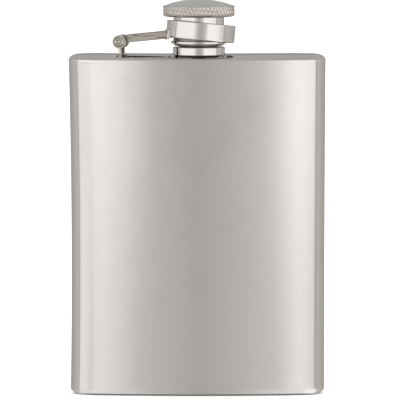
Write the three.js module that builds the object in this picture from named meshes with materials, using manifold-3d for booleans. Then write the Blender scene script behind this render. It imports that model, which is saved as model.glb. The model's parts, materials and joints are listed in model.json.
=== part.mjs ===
// A pocket hip flask with a captive screw cap on a hinged arm.
// Millimetres, +Z up, +X to the right, -Y towards the front face.
// The origin is on the resting face, straight under the axis of the neck.

import * as THREE from 'three';
import { mergeVertices } from 'three/addons/utils/BufferGeometryUtils.js';
import Module from 'manifold-3d';

const wasm = await Module();
wasm.setup();

// ---------------------------------------------------------------------------
// Driving dimensions
// ---------------------------------------------------------------------------

// Body: a kidney-shaped tube between two pressed plates.
const BODY_WIDTH = 92;
const BODY_HEIGHT = 123;
const SHEET = 0.7;
const FRONT_RADIUS = 165;
const FRONT_Y = -11.5;
const BACK_RADIUS = 200;
const END_RADIUS = 10.7;
const EDGE_ROUND_IN = 5.0;
const EDGE_ROUND_HIGH = 2.4;
const PLATE_SKIRT = 3.0;
const OUTLINE_SEGMENTS = 8;
const EDGE_SEGMENTS = 3;

// Neck, with heights above the top plate.
const NECK_BORE = 5.6;
const NECK_ROOT = 6.75;
const NECK_TOP = 7.0;
const NECK_BELOW = 1.5;
const NECK_HOLE = 7.05;
const THREAD_RADIUS = 0.6;
const THREAD_PITCH = 1.2;
const THREAD_START = 3.35;
const THREAD_TURNS = 2.1;
const THREAD_STEPS = 20;
const RIDGE_SEGMENTS = 4;
const COLLAR_RADIUS = 9.43;
const COLLAR_HEIGHT = 2.8;
const COLLAR_BORE = 7.05;

// Hinge, turned a little so that the arm comes forward to the ring.
const HINGE_X = -28.2;
const HINGE_Y = 2.3;
const HINGE_RISE = 4.6;
const HINGE_TURN = THREE.MathUtils.degToRad(-11);
const EAR_RADIUS = 2.25;
const EAR_THICKNESS = 1.4;
const EAR_SPAN = 7.4;
const STEM_LEFT = -0.4;
const STEM_RIGHT = 1.6;
const FOOT_HEIGHT = 0.8;
const FOOT_LEFT = -1.6;
const FOOT_RIGHT = 2.8;
const PIN_RADIUS = 0.9;
const PIN_HEAD_RADIUS = 1.5;
const PIN_HEAD_HEIGHT = 0.5;
const PIN_GAP = 0.1;

// Arm.
const ARM_DEPTH = 7.4;
const ARM_HEIGHT = 2.9;
const ARM_RISE = 0.75;
const ARM_SLOPE = THREE.MathUtils.degToRad(5.2);
const ARM_REACH = 24;
const TONGUE_WIDTH = 4.3;
const EYE_RADIUS = 2.2;
const SHOULDER_RADIUS = 2.65;

// Swivel ring, tipped a little to the right.
const RING_CENTRE_X = 0.65;
const RING_RISE = 8.25;
const RING_TILT = THREE.MathUtils.degToRad(5.3);
const RING_RADIUS = 12.45;
const RING_HEIGHT = 6.5;
const RING_COUNTERBORE = 11.75;
const RING_LIP_BORE = 10.4;
const RING_LIP = 0.8;
const BRAZE_GAP = 0.3;

// Cap, with heights above the top plate.
const HEAD_RADIUS = 12.9;
const HEAD_BOTTOM = 13.7;
const HEAD_SHOULDER = 17.8;
const HEAD_APEX = 19.8;
const HEAD_WALL = 0.8;
const HEAD_MOUTH = 9.45;
const HEAD_EDGE = 0.5;
const DOME_RINGS = 5;
const SKIRT_RADIUS = 9.2;
const FLANGE_RADIUS = 10.2;
const FLANGE_BOTTOM = 3.7;
const FLANGE_TOP = 6.0;
const FLANGE_FOOT = 8.6;
const FLANGE_CHAMFER = 0.4;
const FLANGE_MOUTH = 7.95;
const GROOVE_RADIUS = 8.7;
const GROOVE_BOTTOM = 6.3;
const GROOVE_TOP = 7.2;
const BUSH_TOP = 15.4;
const BUSH_RIM = 11.8;
const BUSH_RIM_HEIGHT = 0.8;
const CAP_THREAD_START = 4.35;
const CAP_THREAD_TURNS = 1.0;
const CAP_THREAD_MINOR = 7.5;
const CAP_THREAD_STEPS = 28;
const CLIP_INNER = 8.8;
const CLIP_OUTER = 10.9;
const CLIP_BOTTOM = 6.4;
const CLIP_TOP = 7.1;
const CLIP_MOUTH = 3.0;
const LINER_RADIUS = 7.6;
const LINER_BOTTOM = 8.7;
const LINER_RIM = 11.6;
const LINER_RIM_BOTTOM = 15.5;
const LINER_TOP = 16.3;
const GASKET_RADIUS = 7.6;
const GASKET_BOTTOM = 7.05;
const GASKET_TOP = 8.55;

const ROUND_SEGMENTS = 48;
const SMALL_ROUND_SEGMENTS = 24;
const ALL_ROUND = 2 * Math.PI;

// ---------------------------------------------------------------------------
// Materials
// ---------------------------------------------------------------------------

const FINISHES = {
  polishedSteel: { color: 0xd9d7d3, roughness: 0.08, metalness: 1.0 },
  satinSteel: { color: 0xb9b6b1, roughness: 0.38, metalness: 1.0 },
  plastic: { color: 0xe6e4de, roughness: 0.55, metalness: 0.0 },
  silicone: { color: 0xcfd2d2, roughness: 0.8, metalness: 0.0 },
};

function finish(name) {
  return new THREE.MeshStandardMaterial(FINISHES[name]);
}

// ---------------------------------------------------------------------------
// Solids
// ---------------------------------------------------------------------------

/** A closed geometry as a solid that can be joined and cut. */
function solid(geometry) {
  const bare = geometry.clone();
  bare.deleteAttribute('normal');
  bare.deleteAttribute('uv');
  const merged = mergeVertices(bare, 1e-4);
  const corners = merged.index.array;
  const triangles = [];
  for (let i = 0; i < corners.length; i += 3) {
    const [a, b, c] = [corners[i], corners[i + 1], corners[i + 2]];
    if (a !== b && b !== c && c !== a) {
      triangles.push(a, b, c);
    }
  }
  return new wasm.Manifold(new wasm.Mesh({
    numProp: 3,
    vertProperties: new Float32Array(merged.attributes.position.array),
    triVerts: new Uint32Array(triangles),
  }));
}

/** The surface of a solid, as a geometry. */
function surface(body) {
  const shell = body.getMesh();
  const geometry = new THREE.BufferGeometry();
  geometry.setAttribute('position', new THREE.BufferAttribute(shell.vertProperties, 3));
  geometry.setIndex(new THREE.BufferAttribute(shell.triVerts, 1));
  geometry.computeVertexNormals();
  return geometry;
}

/** A named mesh made from a solid. */
function piece(name, body, finishName) {
  const mesh = new THREE.Mesh(surface(body), finish(finishName));
  mesh.name = name;
  return mesh;
}

/** A solid turned about +Z from a closed outline of [radius, height] points, anticlockwise. */
function turned(outline, segments = ROUND_SEGMENTS) {
  const onAxis = outline.every(([radius]) => radius > 0) ? [...outline, outline[0]] : outline;
  const points = onAxis.map(([radius, height]) => new THREE.Vector2(radius, height));
  return solid(new THREE.LatheGeometry(points, segments, 0, ALL_ROUND).rotateX(Math.PI / 2));
}

/** A round bar along +Z. */
function roundBar(radius, bottom, top, segments = ROUND_SEGMENTS) {
  return turned([[0, bottom], [radius, bottom], [radius, top], [0, top]], segments);
}

/** A block between two corners. */
function block(low, high) {
  const size = high.map((value, axis) => value - low[axis]);
  const centre = high.map((value, axis) => (value + low[axis]) / 2);
  return solid(new THREE.BoxGeometry(...size).translate(...centre));
}

/** A flat shape in X and Z, made thick along Y and centred there. */
function slab(shape, thickness) {
  const extrusion = new THREE.ExtrudeGeometry(shape, {
    depth: thickness,
    bevelEnabled: false,
    curveSegments: SMALL_ROUND_SEGMENTS / 2,
  });
  return solid(extrusion.translate(0, 0, -thickness / 2).rotateX(Math.PI / 2));
}

/** One helix about +Z. */
class Helix extends THREE.Curve {
  constructor(radius, start, pitch, turns) {
    super();
    Object.assign(this, { radius, start, pitch, turns });
  }

  getPoint(t, target = new THREE.Vector3()) {
    const angle = ALL_ROUND * this.turns * t;
    const height = this.start + this.pitch * this.turns * t;
    return target.set(this.radius * Math.cos(angle), this.radius * Math.sin(angle), height);
  }
}

/** A round-backed thread ridge that winds about +Z. */
function threadRidge(radius, start, turns, stepsPerTurn) {
  const section = new THREE.Shape().absarc(0, 0, THREAD_RADIUS, 0, ALL_ROUND);
  return solid(new THREE.ExtrudeGeometry(section, {
    steps: Math.round(turns * stepsPerTurn),
    curveSegments: RIDGE_SEGMENTS,
    extrudePath: new Helix(radius, start, THREAD_PITCH, turns),
  }));
}

// ---------------------------------------------------------------------------
// Body
// ---------------------------------------------------------------------------

/** The kidney-shaped plan of the body, moved inwards by inset: four arcs that meet smoothly. */
function bodyPlan(inset) {
  const endX = BODY_WIDTH / 2 - END_RADIUS;
  const frontCentreY = FRONT_Y + FRONT_RADIUS;
  const endY = frontCentreY - Math.sqrt((FRONT_RADIUS - END_RADIUS) ** 2 - endX ** 2);
  const backCentreY = endY + Math.sqrt((BACK_RADIUS + END_RADIUS) ** 2 - endX ** 2);
  const frontHalf = Math.asin(endX / (FRONT_RADIUS - END_RADIUS));
  const backHalf = Math.asin(endX / (BACK_RADIUS + END_RADIUS));
  const down = -Math.PI / 2;
  const up = Math.PI / 2;
  const plan = new THREE.Shape();
  plan.absarc(0, frontCentreY, FRONT_RADIUS - inset, down - frontHalf, down + frontHalf);
  plan.absarc(endX, endY, END_RADIUS - inset, down + frontHalf, up + backHalf);
  plan.absarc(0, backCentreY, BACK_RADIUS + inset, down + backHalf, down - backHalf, true);
  plan.absarc(-endX, endY, END_RADIUS - inset, up - backHalf, 3 * up - frontHalf);
  return plan;
}

/** The body as a solid lump with rounded ends, moved inwards by inset. */
function bodyLump(inset) {
  const high = EDGE_ROUND_HIGH - inset / 2;
  const lump = new THREE.ExtrudeGeometry(bodyPlan(inset), {
    depth: BODY_HEIGHT - 2 * inset - 2 * high,
    curveSegments: OUTLINE_SEGMENTS,
    bevelSegments: EDGE_SEGMENTS,
    bevelThickness: high,
    bevelSize: EDGE_ROUND_IN - inset,
    bevelOffset: inset - EDGE_ROUND_IN,
  });
  return solid(lump.translate(0, 0, inset + high));
}

/** The slice of the body's shell between two heights. */
function shellSlice(shell, low, high) {
  return shell.intersect(block([-BODY_WIDTH, -BODY_WIDTH, low], [BODY_WIDTH, BODY_WIDTH, high]));
}

function makeBody() {
  const shell = bodyLump(0).subtract(bodyLump(SHEET));
  const neckHole = roundBar(NECK_HOLE, BODY_HEIGHT - PLATE_SKIRT, BODY_HEIGHT + 1);
  const top = shellSlice(shell, BODY_HEIGHT - PLATE_SKIRT, BODY_HEIGHT + 1).subtract(neckHole);
  const group = new THREE.Group();
  group.add(
    piece('body_sleeve', shellSlice(shell, PLATE_SKIRT, BODY_HEIGHT - PLATE_SKIRT), 'polishedSteel'),
    piece('top_plate', top, 'polishedSteel'),
    piece('bottom_plate', shellSlice(shell, -1, PLATE_SKIRT), 'polishedSteel'),
  );
  return group;
}

// ---------------------------------------------------------------------------
// Neck
// ---------------------------------------------------------------------------

function makeNeck() {
  const rim = 0.25;
  const tube = turned([
    [NECK_BORE, -NECK_BELOW],
    [NECK_ROOT, -NECK_BELOW],
    [NECK_ROOT, NECK_TOP - rim],
    [NECK_ROOT - rim, NECK_TOP],
    [NECK_BORE, NECK_TOP],
  ]);
  const thread = threadRidge(NECK_ROOT, THREAD_START, THREAD_TURNS, THREAD_STEPS);
  const edge = 0.3;
  const collar = turned([
    [COLLAR_BORE, 0],
    [COLLAR_RADIUS - edge, 0],
    [COLLAR_RADIUS, edge],
    [COLLAR_RADIUS, COLLAR_HEIGHT - edge],
    [COLLAR_RADIUS - edge, COLLAR_HEIGHT],
    [COLLAR_BORE, COLLAR_HEIGHT],
  ]);
  const group = new THREE.Group();
  group.position.z = BODY_HEIGHT;
  group.add(
    piece('neck_spout', tube.add(thread), 'satinSteel'),
    piece('neck_collar', collar, 'polishedSteel'),
  );
  return group;
}

// ---------------------------------------------------------------------------
// Hinge and arm
// ---------------------------------------------------------------------------

/** The hinge's own frame: origin on the pin's axis, +Y along the pin, +X along the arm. */
function hingeGroup() {
  const group = new THREE.Group();
  group.position.set(HINGE_X, HINGE_Y, BODY_HEIGHT + HINGE_RISE);
  group.rotation.z = HINGE_TURN;
  return group;
}

/** A round bar along the pin's axis, centred on it. */
function pinBar(radius, length) {
  const bar = new THREE.CylinderGeometry(radius, radius, length, SMALL_ROUND_SEGMENTS);
  return solid(bar);
}

/** One ear of the bracket in side view: a stem with a round head about the pin. */
function earShape() {
  const rightAngle = Math.asin(STEM_RIGHT / EAR_RADIUS) - Math.PI / 2;
  const leftAngle = -Math.PI / 2 + Math.asin(STEM_LEFT / EAR_RADIUS);
  const shape = new THREE.Shape();
  shape.moveTo(STEM_LEFT, -HINGE_RISE);
  shape.lineTo(STEM_RIGHT, -HINGE_RISE);
  shape.absarc(0, 0, EAR_RADIUS, rightAngle, leftAngle + ALL_ROUND);
  shape.lineTo(STEM_LEFT, -HINGE_RISE);
  return shape;
}

function makeBracket() {
  const earY = (EAR_SPAN - EAR_THICKNESS) / 2;
  const halfSpan = EAR_SPAN / 2;
  const foot = block([FOOT_LEFT, -halfSpan, -HINGE_RISE], [FOOT_RIGHT, halfSpan, FOOT_HEIGHT - HINGE_RISE]);
  const ear = slab(earShape(), EAR_THICKNESS);
  const ears = ear.translate([0, -earY, 0]).add(ear.translate([0, earY, 0]));
  return foot.add(ears).subtract(pinBar(PIN_RADIUS + PIN_GAP, 2 * EAR_SPAN));
}

function makePin() {
  const shaft = pinBar(PIN_RADIUS, EAR_SPAN + 2 * PIN_GAP + PIN_HEAD_HEIGHT);
  const head = pinBar(PIN_HEAD_RADIUS, PIN_HEAD_HEIGHT);
  const headY = EAR_SPAN / 2 + PIN_GAP + PIN_HEAD_HEIGHT / 2;
  return shaft.add(head.translate([0, -headY, 0])).add(head.translate([0, headY, 0]));
}

/** The arm: a sloping bar, a narrow tongue round the pin, and an end hollowed to fit the ring. */
function makeArm(ringHollow) {
  const halfHeight = ARM_HEIGHT / 2;
  const halfDepth = ARM_DEPTH / 2;
  const bar = block([0, -halfDepth, ARM_RISE - halfHeight], [ARM_REACH, halfDepth, ARM_RISE + halfHeight]);
  const sloped = bar.rotate([0, -THREE.MathUtils.radToDeg(ARM_SLOPE), 0]);
  const shoulder = pinBar(SHOULDER_RADIUS, 2 * ARM_DEPTH);
  const tongueHalf = TONGUE_WIDTH / 2;
  const core = block([-ARM_REACH, -tongueHalf, -ARM_REACH], [ARM_REACH, tongueHalf, ARM_REACH]);
  const tongue = sloped.intersect(core).add(pinBar(EYE_RADIUS, TONGUE_WIDTH));
  const arm = sloped.subtract(shoulder).add(tongue);
  return arm.subtract(pinBar(PIN_RADIUS + PIN_GAP, 2 * ARM_DEPTH)).subtract(ringHollow);
}

/** The ring's place, tilt and centre, in the flask's frame. */
function ringPlacement() {
  const tilt = new THREE.Matrix4().makeRotationY(RING_TILT);
  return tilt.setPosition(RING_CENTRE_X, 0, BODY_HEIGHT + RING_RISE);
}

function makeRing() {
  const half = RING_HEIGHT / 2;
  const edge = 0.35;
  return turned([
    [RING_COUNTERBORE, -half],
    [RING_RADIUS - edge, -half],
    [RING_RADIUS, edge - half],
    [RING_RADIUS, half - edge],
    [RING_RADIUS - edge, half],
    [RING_LIP_BORE, half],
    [RING_LIP_BORE, half - RING_LIP],
    [RING_COUNTERBORE, half - RING_LIP],
  ]);
}

function makeHingeAndArm() {
  const hinge = hingeGroup();
  hinge.updateMatrix();
  const toHinge = hinge.matrix.clone().invert().multiply(ringPlacement());
  const hollow = roundBar(RING_RADIUS + BRAZE_GAP, -RING_HEIGHT, RING_HEIGHT).transform(toHinge.elements);
  hinge.add(
    piece('hinge_bracket', makeBracket(), 'polishedSteel'),
    piece('hinge_pin', makePin(), 'satinSteel'),
    piece('cap_arm', makeArm(hollow), 'polishedSteel'),
  );
  const ring = piece('swivel_ring', makeRing(), 'polishedSteel');
  ringPlacement().decompose(ring.position, ring.quaternion, ring.scale);
  const group = new THREE.Group();
  group.add(hinge, ring);
  return group;
}

// ---------------------------------------------------------------------------
// Cap
// ---------------------------------------------------------------------------

/** Points of the dome from its rim to its apex, on one arc. */
function domePoints(rimRadius, rimHeight, apexHeight) {
  const rise = apexHeight - rimHeight;
  const arcRadius = (rimRadius ** 2 + rise ** 2) / (2 * rise);
  const spread = Math.asin(rimRadius / arcRadius);
  const points = [];
  for (let i = 0; i <= DOME_RINGS; i += 1) {
    const angle = spread * (1 - i / DOME_RINGS);
    const radius = i === DOME_RINGS ? 0 : arcRadius * Math.sin(angle);
    points.push([radius, apexHeight - arcRadius * (1 - Math.cos(angle))]);
  }
  return points;
}

function makeHead() {
  const inner = HEAD_RADIUS - HEAD_WALL;
  const rim = HEAD_RADIUS - HEAD_EDGE;
  const outside = domePoints(rim, HEAD_SHOULDER + HEAD_EDGE / 2, HEAD_APEX);
  const inside = domePoints(inner - HEAD_EDGE, HEAD_SHOULDER - HEAD_WALL, HEAD_APEX - HEAD_WALL);
  const shell = turned([
    [0, HEAD_BOTTOM],
    [rim, HEAD_BOTTOM],
    [HEAD_RADIUS, HEAD_BOTTOM + HEAD_EDGE],
    [HEAD_RADIUS, HEAD_SHOULDER],
    ...outside,
  ]);
  const hollow = turned([
    [0, HEAD_BOTTOM + HEAD_WALL],
    [inner, HEAD_BOTTOM + HEAD_WALL],
    [inner, HEAD_SHOULDER - HEAD_WALL - HEAD_EDGE],
    ...inside,
  ]);
  const mouth = roundBar(HEAD_MOUTH, HEAD_BOTTOM - HEAD_WALL, HEAD_BOTTOM + 2 * HEAD_WALL);
  return shell.subtract(hollow).subtract(mouth);
}

function makeBush() {
  const body = turned([
    [FLANGE_MOUTH, FLANGE_BOTTOM],
    [FLANGE_FOOT, FLANGE_BOTTOM],
    [FLANGE_RADIUS, FLANGE_BOTTOM + FLANGE_CHAMFER],
    [FLANGE_RADIUS, FLANGE_TOP],
    [SKIRT_RADIUS, FLANGE_TOP],
    [SKIRT_RADIUS, GROOVE_BOTTOM],
    [GROOVE_RADIUS, GROOVE_BOTTOM],
    [GROOVE_RADIUS, GROOVE_TOP],
    [SKIRT_RADIUS, GROOVE_TOP],
    [SKIRT_RADIUS, BUSH_TOP - BUSH_RIM_HEIGHT],
    [BUSH_RIM, BUSH_TOP - BUSH_RIM_HEIGHT],
    [BUSH_RIM, BUSH_TOP],
    [FLANGE_MOUTH, BUSH_TOP],
  ]);
  const ridgeRadius = CAP_THREAD_MINOR + THREAD_RADIUS;
  return body.add(threadRidge(ridgeRadius, CAP_THREAD_START, CAP_THREAD_TURNS, CAP_THREAD_STEPS));
}

function makeClip() {
  const ring = turned([
    [CLIP_INNER, CLIP_BOTTOM],
    [CLIP_OUTER, CLIP_BOTTOM],
    [CLIP_OUTER, CLIP_TOP],
    [CLIP_INNER, CLIP_TOP],
  ]);
  const mouth = CLIP_MOUTH / 2;
  return ring.subtract(block([-mouth, 0, CLIP_BOTTOM - 1], [mouth, 2 * CLIP_OUTER, CLIP_TOP + 1]));
}

function makeLiner() {
  return turned([
    [0, LINER_BOTTOM],
    [LINER_RADIUS, LINER_BOTTOM],
    [LINER_RADIUS, LINER_RIM_BOTTOM],
    [LINER_RIM, LINER_RIM_BOTTOM],
    [LINER_RIM, LINER_TOP],
    [0, LINER_TOP],
  ]);
}

function makeCap() {
  const group = new THREE.Group();
  group.position.z = BODY_HEIGHT;
  group.add(
    piece('cap_head', makeHead(), 'satinSteel'),
    piece('cap_bush', makeBush(), 'polishedSteel'),
    piece('retaining_clip', makeClip(), 'satinSteel'),
    piece('cap_liner', makeLiner(), 'plastic'),
    piece('seal_gasket', roundBar(GASKET_RADIUS, GASKET_BOTTOM, GASKET_TOP), 'silicone'),
  );
  return group;
}

const flask = new THREE.Group();
flask.add(makeBody(), makeNeck(), makeHingeAndArm(), makeCap());

export default flask;
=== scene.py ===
"""A polished steel hip flask with a captive screw cap on a hinged arm.

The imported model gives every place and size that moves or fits. The classes below lay finer
surfaces over it: one class for each sub-assembly, one for each finish.
"""
import json
import logging
import math
from dataclasses import dataclass, field
from enum import Enum
from typing import Callable, Iterable, Sequence

import bmesh
import bpy
from mathutils import Matrix, Vector, noise


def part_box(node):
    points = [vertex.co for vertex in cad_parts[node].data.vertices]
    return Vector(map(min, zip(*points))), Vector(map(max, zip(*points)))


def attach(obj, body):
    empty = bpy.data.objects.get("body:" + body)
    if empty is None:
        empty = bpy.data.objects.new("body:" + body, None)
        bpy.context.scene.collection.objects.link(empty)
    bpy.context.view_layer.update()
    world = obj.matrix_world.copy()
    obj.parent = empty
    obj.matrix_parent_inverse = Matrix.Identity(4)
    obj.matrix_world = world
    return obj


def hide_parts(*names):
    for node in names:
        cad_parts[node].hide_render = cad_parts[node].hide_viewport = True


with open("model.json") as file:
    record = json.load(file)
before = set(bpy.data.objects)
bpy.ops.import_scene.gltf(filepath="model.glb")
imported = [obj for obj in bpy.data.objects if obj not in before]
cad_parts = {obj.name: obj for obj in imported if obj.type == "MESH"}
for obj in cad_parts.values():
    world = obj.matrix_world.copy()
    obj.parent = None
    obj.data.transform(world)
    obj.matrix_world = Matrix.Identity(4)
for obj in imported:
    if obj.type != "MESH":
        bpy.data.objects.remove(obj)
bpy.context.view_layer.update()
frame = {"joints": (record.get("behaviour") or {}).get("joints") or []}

logging.basicConfig(level=logging.INFO, format="%(levelname)s %(message)s")
LOG = logging.getLogger("hip_flask")

MM = 0.001
FULL_TURN = 2.0 * math.pi
SMOOTH_ANGLE = math.radians(40.0)

Point = tuple[float, float, float]
Ring = list[Point]


class Slot(Enum):
    """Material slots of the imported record."""

    POLISHED = "polished_steel"
    SATIN = "satin_steel"
    PLASTIC = "liner_plastic"
    SILICONE = "seal_silicone"


class Body(Enum):
    """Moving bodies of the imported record."""

    FLASK = "flask"
    ARM = "arm"
    SEAL = "seal"
    CAP = "cap"


# ---------------------------------------------------------------------------------------------
# Mesh tools
# ---------------------------------------------------------------------------------------------


@dataclass
class Corner:
    """A corner of a turned outline.

    Args:
        radius: distance from the axis, in millimetres.
        height: height, in millimetres.
        fillet: radius that rounds the corner, in millimetres.
    """

    radius: float
    height: float
    fillet: float = 0.0


def spread(start: float, stop: float, steps: int) -> list[float]:
    """Evenly spaced values, both ends included.

    Args:
        start: the first value.
        stop: the last value.
        steps: number of gaps between them.

    Returns:
        The values.
    """
    return [start + (stop - start) * step / steps for step in range(steps + 1)]


class Outline:
    """A closed outline of a turned piece, whose corners are rounded.

    A support point just outside each rounded corner keeps the flats beside it flat when shaded.
    """

    # How far a support point stands from its corner, in lengths of the corner's cut.
    SUPPORT = 1.3
    # The share of a side that one of its two corners may take.
    ROOM = 0.49

    def __init__(self, corners: Sequence[Corner], arc_steps: int = 4) -> None:
        """Keeps the corners.

        Args:
            corners: the corners, anticlockwise with the radius to the right and the height up.
            arc_steps: flats in each rounded corner.
        """
        self.corners = list(corners)
        self.arc_steps = arc_steps

    def points(self) -> list[tuple[float, float]]:
        """The outline's points with every corner rounded.

        Returns:
            (radius, height) pairs in order, in millimetres.
        """
        found: list[tuple[float, float]] = []
        count = len(self.corners)
        for index, corner in enumerate(self.corners):
            before = self.corners[index - 1]
            after = self.corners[(index + 1) % count]
            found.extend(self._round(before, corner, after))
        return found

    def _round(self, before: Corner, corner: Corner, after: Corner) -> list[tuple[float, float]]:
        """Rounds one corner.

        Args:
            before: the corner before it.
            corner: the corner to round.
            after: the corner after it.

        Returns:
            The points that replace it.
        """
        here = Vector((corner.radius, corner.height))
        if corner.fillet <= 0.0:
            return [tuple(here)]
        back = Vector((before.radius, before.height)) - here
        ahead = Vector((after.radius, after.height)) - here
        half = back.angle(ahead) / 2.0
        cut = corner.fillet / math.tan(half)
        room_back, room_ahead = back.length * self.ROOM, ahead.length * self.ROOM
        cut = min(cut, min(room_back, room_ahead) / self.SUPPORT)
        back.normalize()
        ahead.normalize()
        start = here + back * cut
        end = here + ahead * cut
        points = [tuple(here + back * min(cut * self.SUPPORT, room_back))]
        for step in range(self.arc_steps + 1):
            t = step / self.arc_steps
            bend = start.lerp(here, t).lerp(here.lerp(end, t), t)
            points.append(tuple(bend))
        points.append(tuple(here + ahead * min(cut * self.SUPPORT, room_ahead)))
        return points


class MeshKit:
    """Makes plain mesh objects from rings of points, in millimetres."""

    # Points closer than this are one point, in metres.
    MERGE = 1e-6

    @staticmethod
    def skin(name: str, rings: Sequence[Ring], loop: bool) -> bpy.types.Object:
        """Joins rings of equal length into one closed surface.

        Args:
            name: the object's name.
            rings: rings of points, in millimetres, each closed on itself.
            loop: whether the last ring joins the first; otherwise both ends are filled.

        Returns:
            The new object, in metres, linked to the scene.
        """
        mesh = bmesh.new()
        rows = [[mesh.verts.new(Vector(point) * MM) for point in ring] for ring in rings]
        columns = len(rows[0])
        pairs = list(zip(rows, rows[1:]))
        if loop:
            pairs.append((rows[-1], rows[0]))
        for low, high in pairs:
            for index in range(columns):
                after = (index + 1) % columns
                mesh.faces.new((low[index], low[after], high[after], high[index]))
        if not loop:
            mesh.faces.new(list(reversed(rows[0])))
            mesh.faces.new(rows[-1])
        return MeshKit.finish(name, mesh)

    @staticmethod
    def turned(
        name: str, outline: Iterable[tuple[float, float]], steps: int = 128,
    ) -> bpy.types.Object:
        """Turns a closed outline about the neck's axis.

        Args:
            name: the object's name.
            outline: (radius, height) pairs, in millimetres.
            steps: flats round the axis.

        Returns:
            The new object.
        """
        rings = []
        for radius, height in outline:
            ring = []
            for step in range(steps):
                angle = FULL_TURN * step / steps
                ring.append((radius * math.cos(angle), radius * math.sin(angle), height))
            rings.append(ring)
        return MeshKit.skin(name, rings, loop=True)

    @staticmethod
    def finish(name: str, mesh: bmesh.types.BMesh) -> bpy.types.Object:
        """Closes poles, turns faces outwards, and makes an object of the mesh.

        Args:
            name: the object's name.
            mesh: the mesh, in metres, which is freed.

        Returns:
            The new object.
        """
        bmesh.ops.remove_doubles(mesh, verts=mesh.verts, dist=MeshKit.MERGE)
        bmesh.ops.dissolve_degenerate(mesh, edges=mesh.edges, dist=MeshKit.MERGE)
        bmesh.ops.recalc_face_normals(mesh, faces=mesh.faces)
        data = bpy.data.meshes.new(name)
        mesh.to_mesh(data)
        mesh.free()
        MeshKit.smooth(data)
        piece = bpy.data.objects.new(name, data)
        bpy.context.scene.collection.objects.link(piece)
        return piece

    @staticmethod
    def smooth(data: bpy.types.Mesh) -> None:
        """Shades a mesh smooth, with its sharp edges kept sharp."""
        data.polygons.foreach_set("use_smooth", [True] * len(data.polygons))
        data.set_sharp_from_angle(angle=SMOOTH_ANGLE)

    @staticmethod
    def move(piece: bpy.types.Object, place: Matrix) -> bpy.types.Object:
        """Moves a piece's mesh, so that its object stays at the origin.

        Args:
            piece: the piece.
            place: the move, in metres.

        Returns:
            The same piece.
        """
        piece.data.transform(place)
        piece.data.update()
        return piece


def settle(
    piece: bpy.types.Object,
    material: bpy.types.Material,
    body: Body,
    slot: Slot,
    *nodes: str,
) -> None:
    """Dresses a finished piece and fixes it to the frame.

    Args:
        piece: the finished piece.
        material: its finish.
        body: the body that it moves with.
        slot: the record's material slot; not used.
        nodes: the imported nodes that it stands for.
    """
    piece.data.materials.clear()
    piece.data.materials.append(material)
    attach(piece, body.value)
    if nodes:
        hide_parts(*nodes)
    LOG.info("%s: %d faces on %s", piece.name, len(piece.data.polygons), body.value)


def dress(
    piece: bpy.types.Object,
    others: Sequence[bpy.types.Material],
    choose: Callable[[bpy.types.MeshPolygon], int],
) -> None:
    """Gives some faces of a settled piece another finish.

    Args:
        piece: the piece, which already has its main finish.
        others: the other finishes.
        choose: picks a face's finish: 0 is the main one, 1 the first of the others.
    """
    for material in others:
        piece.data.materials.append(material)
    for face in piece.data.polygons:
        face.material_index = choose(face)


# ---------------------------------------------------------------------------------------------
# Geometry Nodes
# ---------------------------------------------------------------------------------------------


class NodeTools:
    """Short ways to add and join nodes in one tree."""

    def __init__(self, tree: bpy.types.NodeTree) -> None:
        """Keeps the tree that the nodes go in."""
        self.tree = tree

    def add(self, kind: str, **settings: object) -> bpy.types.Node:
        """Adds a node.

        Args:
            kind: the node's type name.
            settings: properties to set on it.

        Returns:
            The new node.
        """
        node = self.tree.nodes.new(kind)
        for key, value in settings.items():
            setattr(node, key, value)
        return node

    def link(self, source: bpy.types.NodeSocket, target: bpy.types.NodeSocket) -> None:
        """Joins an output to an input."""
        self.tree.links.new(source, target)

    def feed(self, target: bpy.types.NodeSocket, value: object) -> None:
        """Gives an input a value.

        Args:
            target: the input.
            value: a plain value or another node's output.
        """
        if isinstance(value, bpy.types.NodeSocket):
            self.link(value, target)
        else:
            target.default_value = value

    def math(
        self, operation: str, first: object, second: object = 0.0, **settings: object,
    ) -> bpy.types.NodeSocket:
        """Adds a Math node.

        Args:
            operation: the node's operation.
            first: first input, a number or an output.
            second: second input, a number or an output.
            settings: other properties of the node.

        Returns:
            The node's output.
        """
        node = self.add("ShaderNodeMath", operation=operation, **settings)
        self.feed(node.inputs[0], first)
        self.feed(node.inputs[1], second)
        return node.outputs[0]


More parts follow.
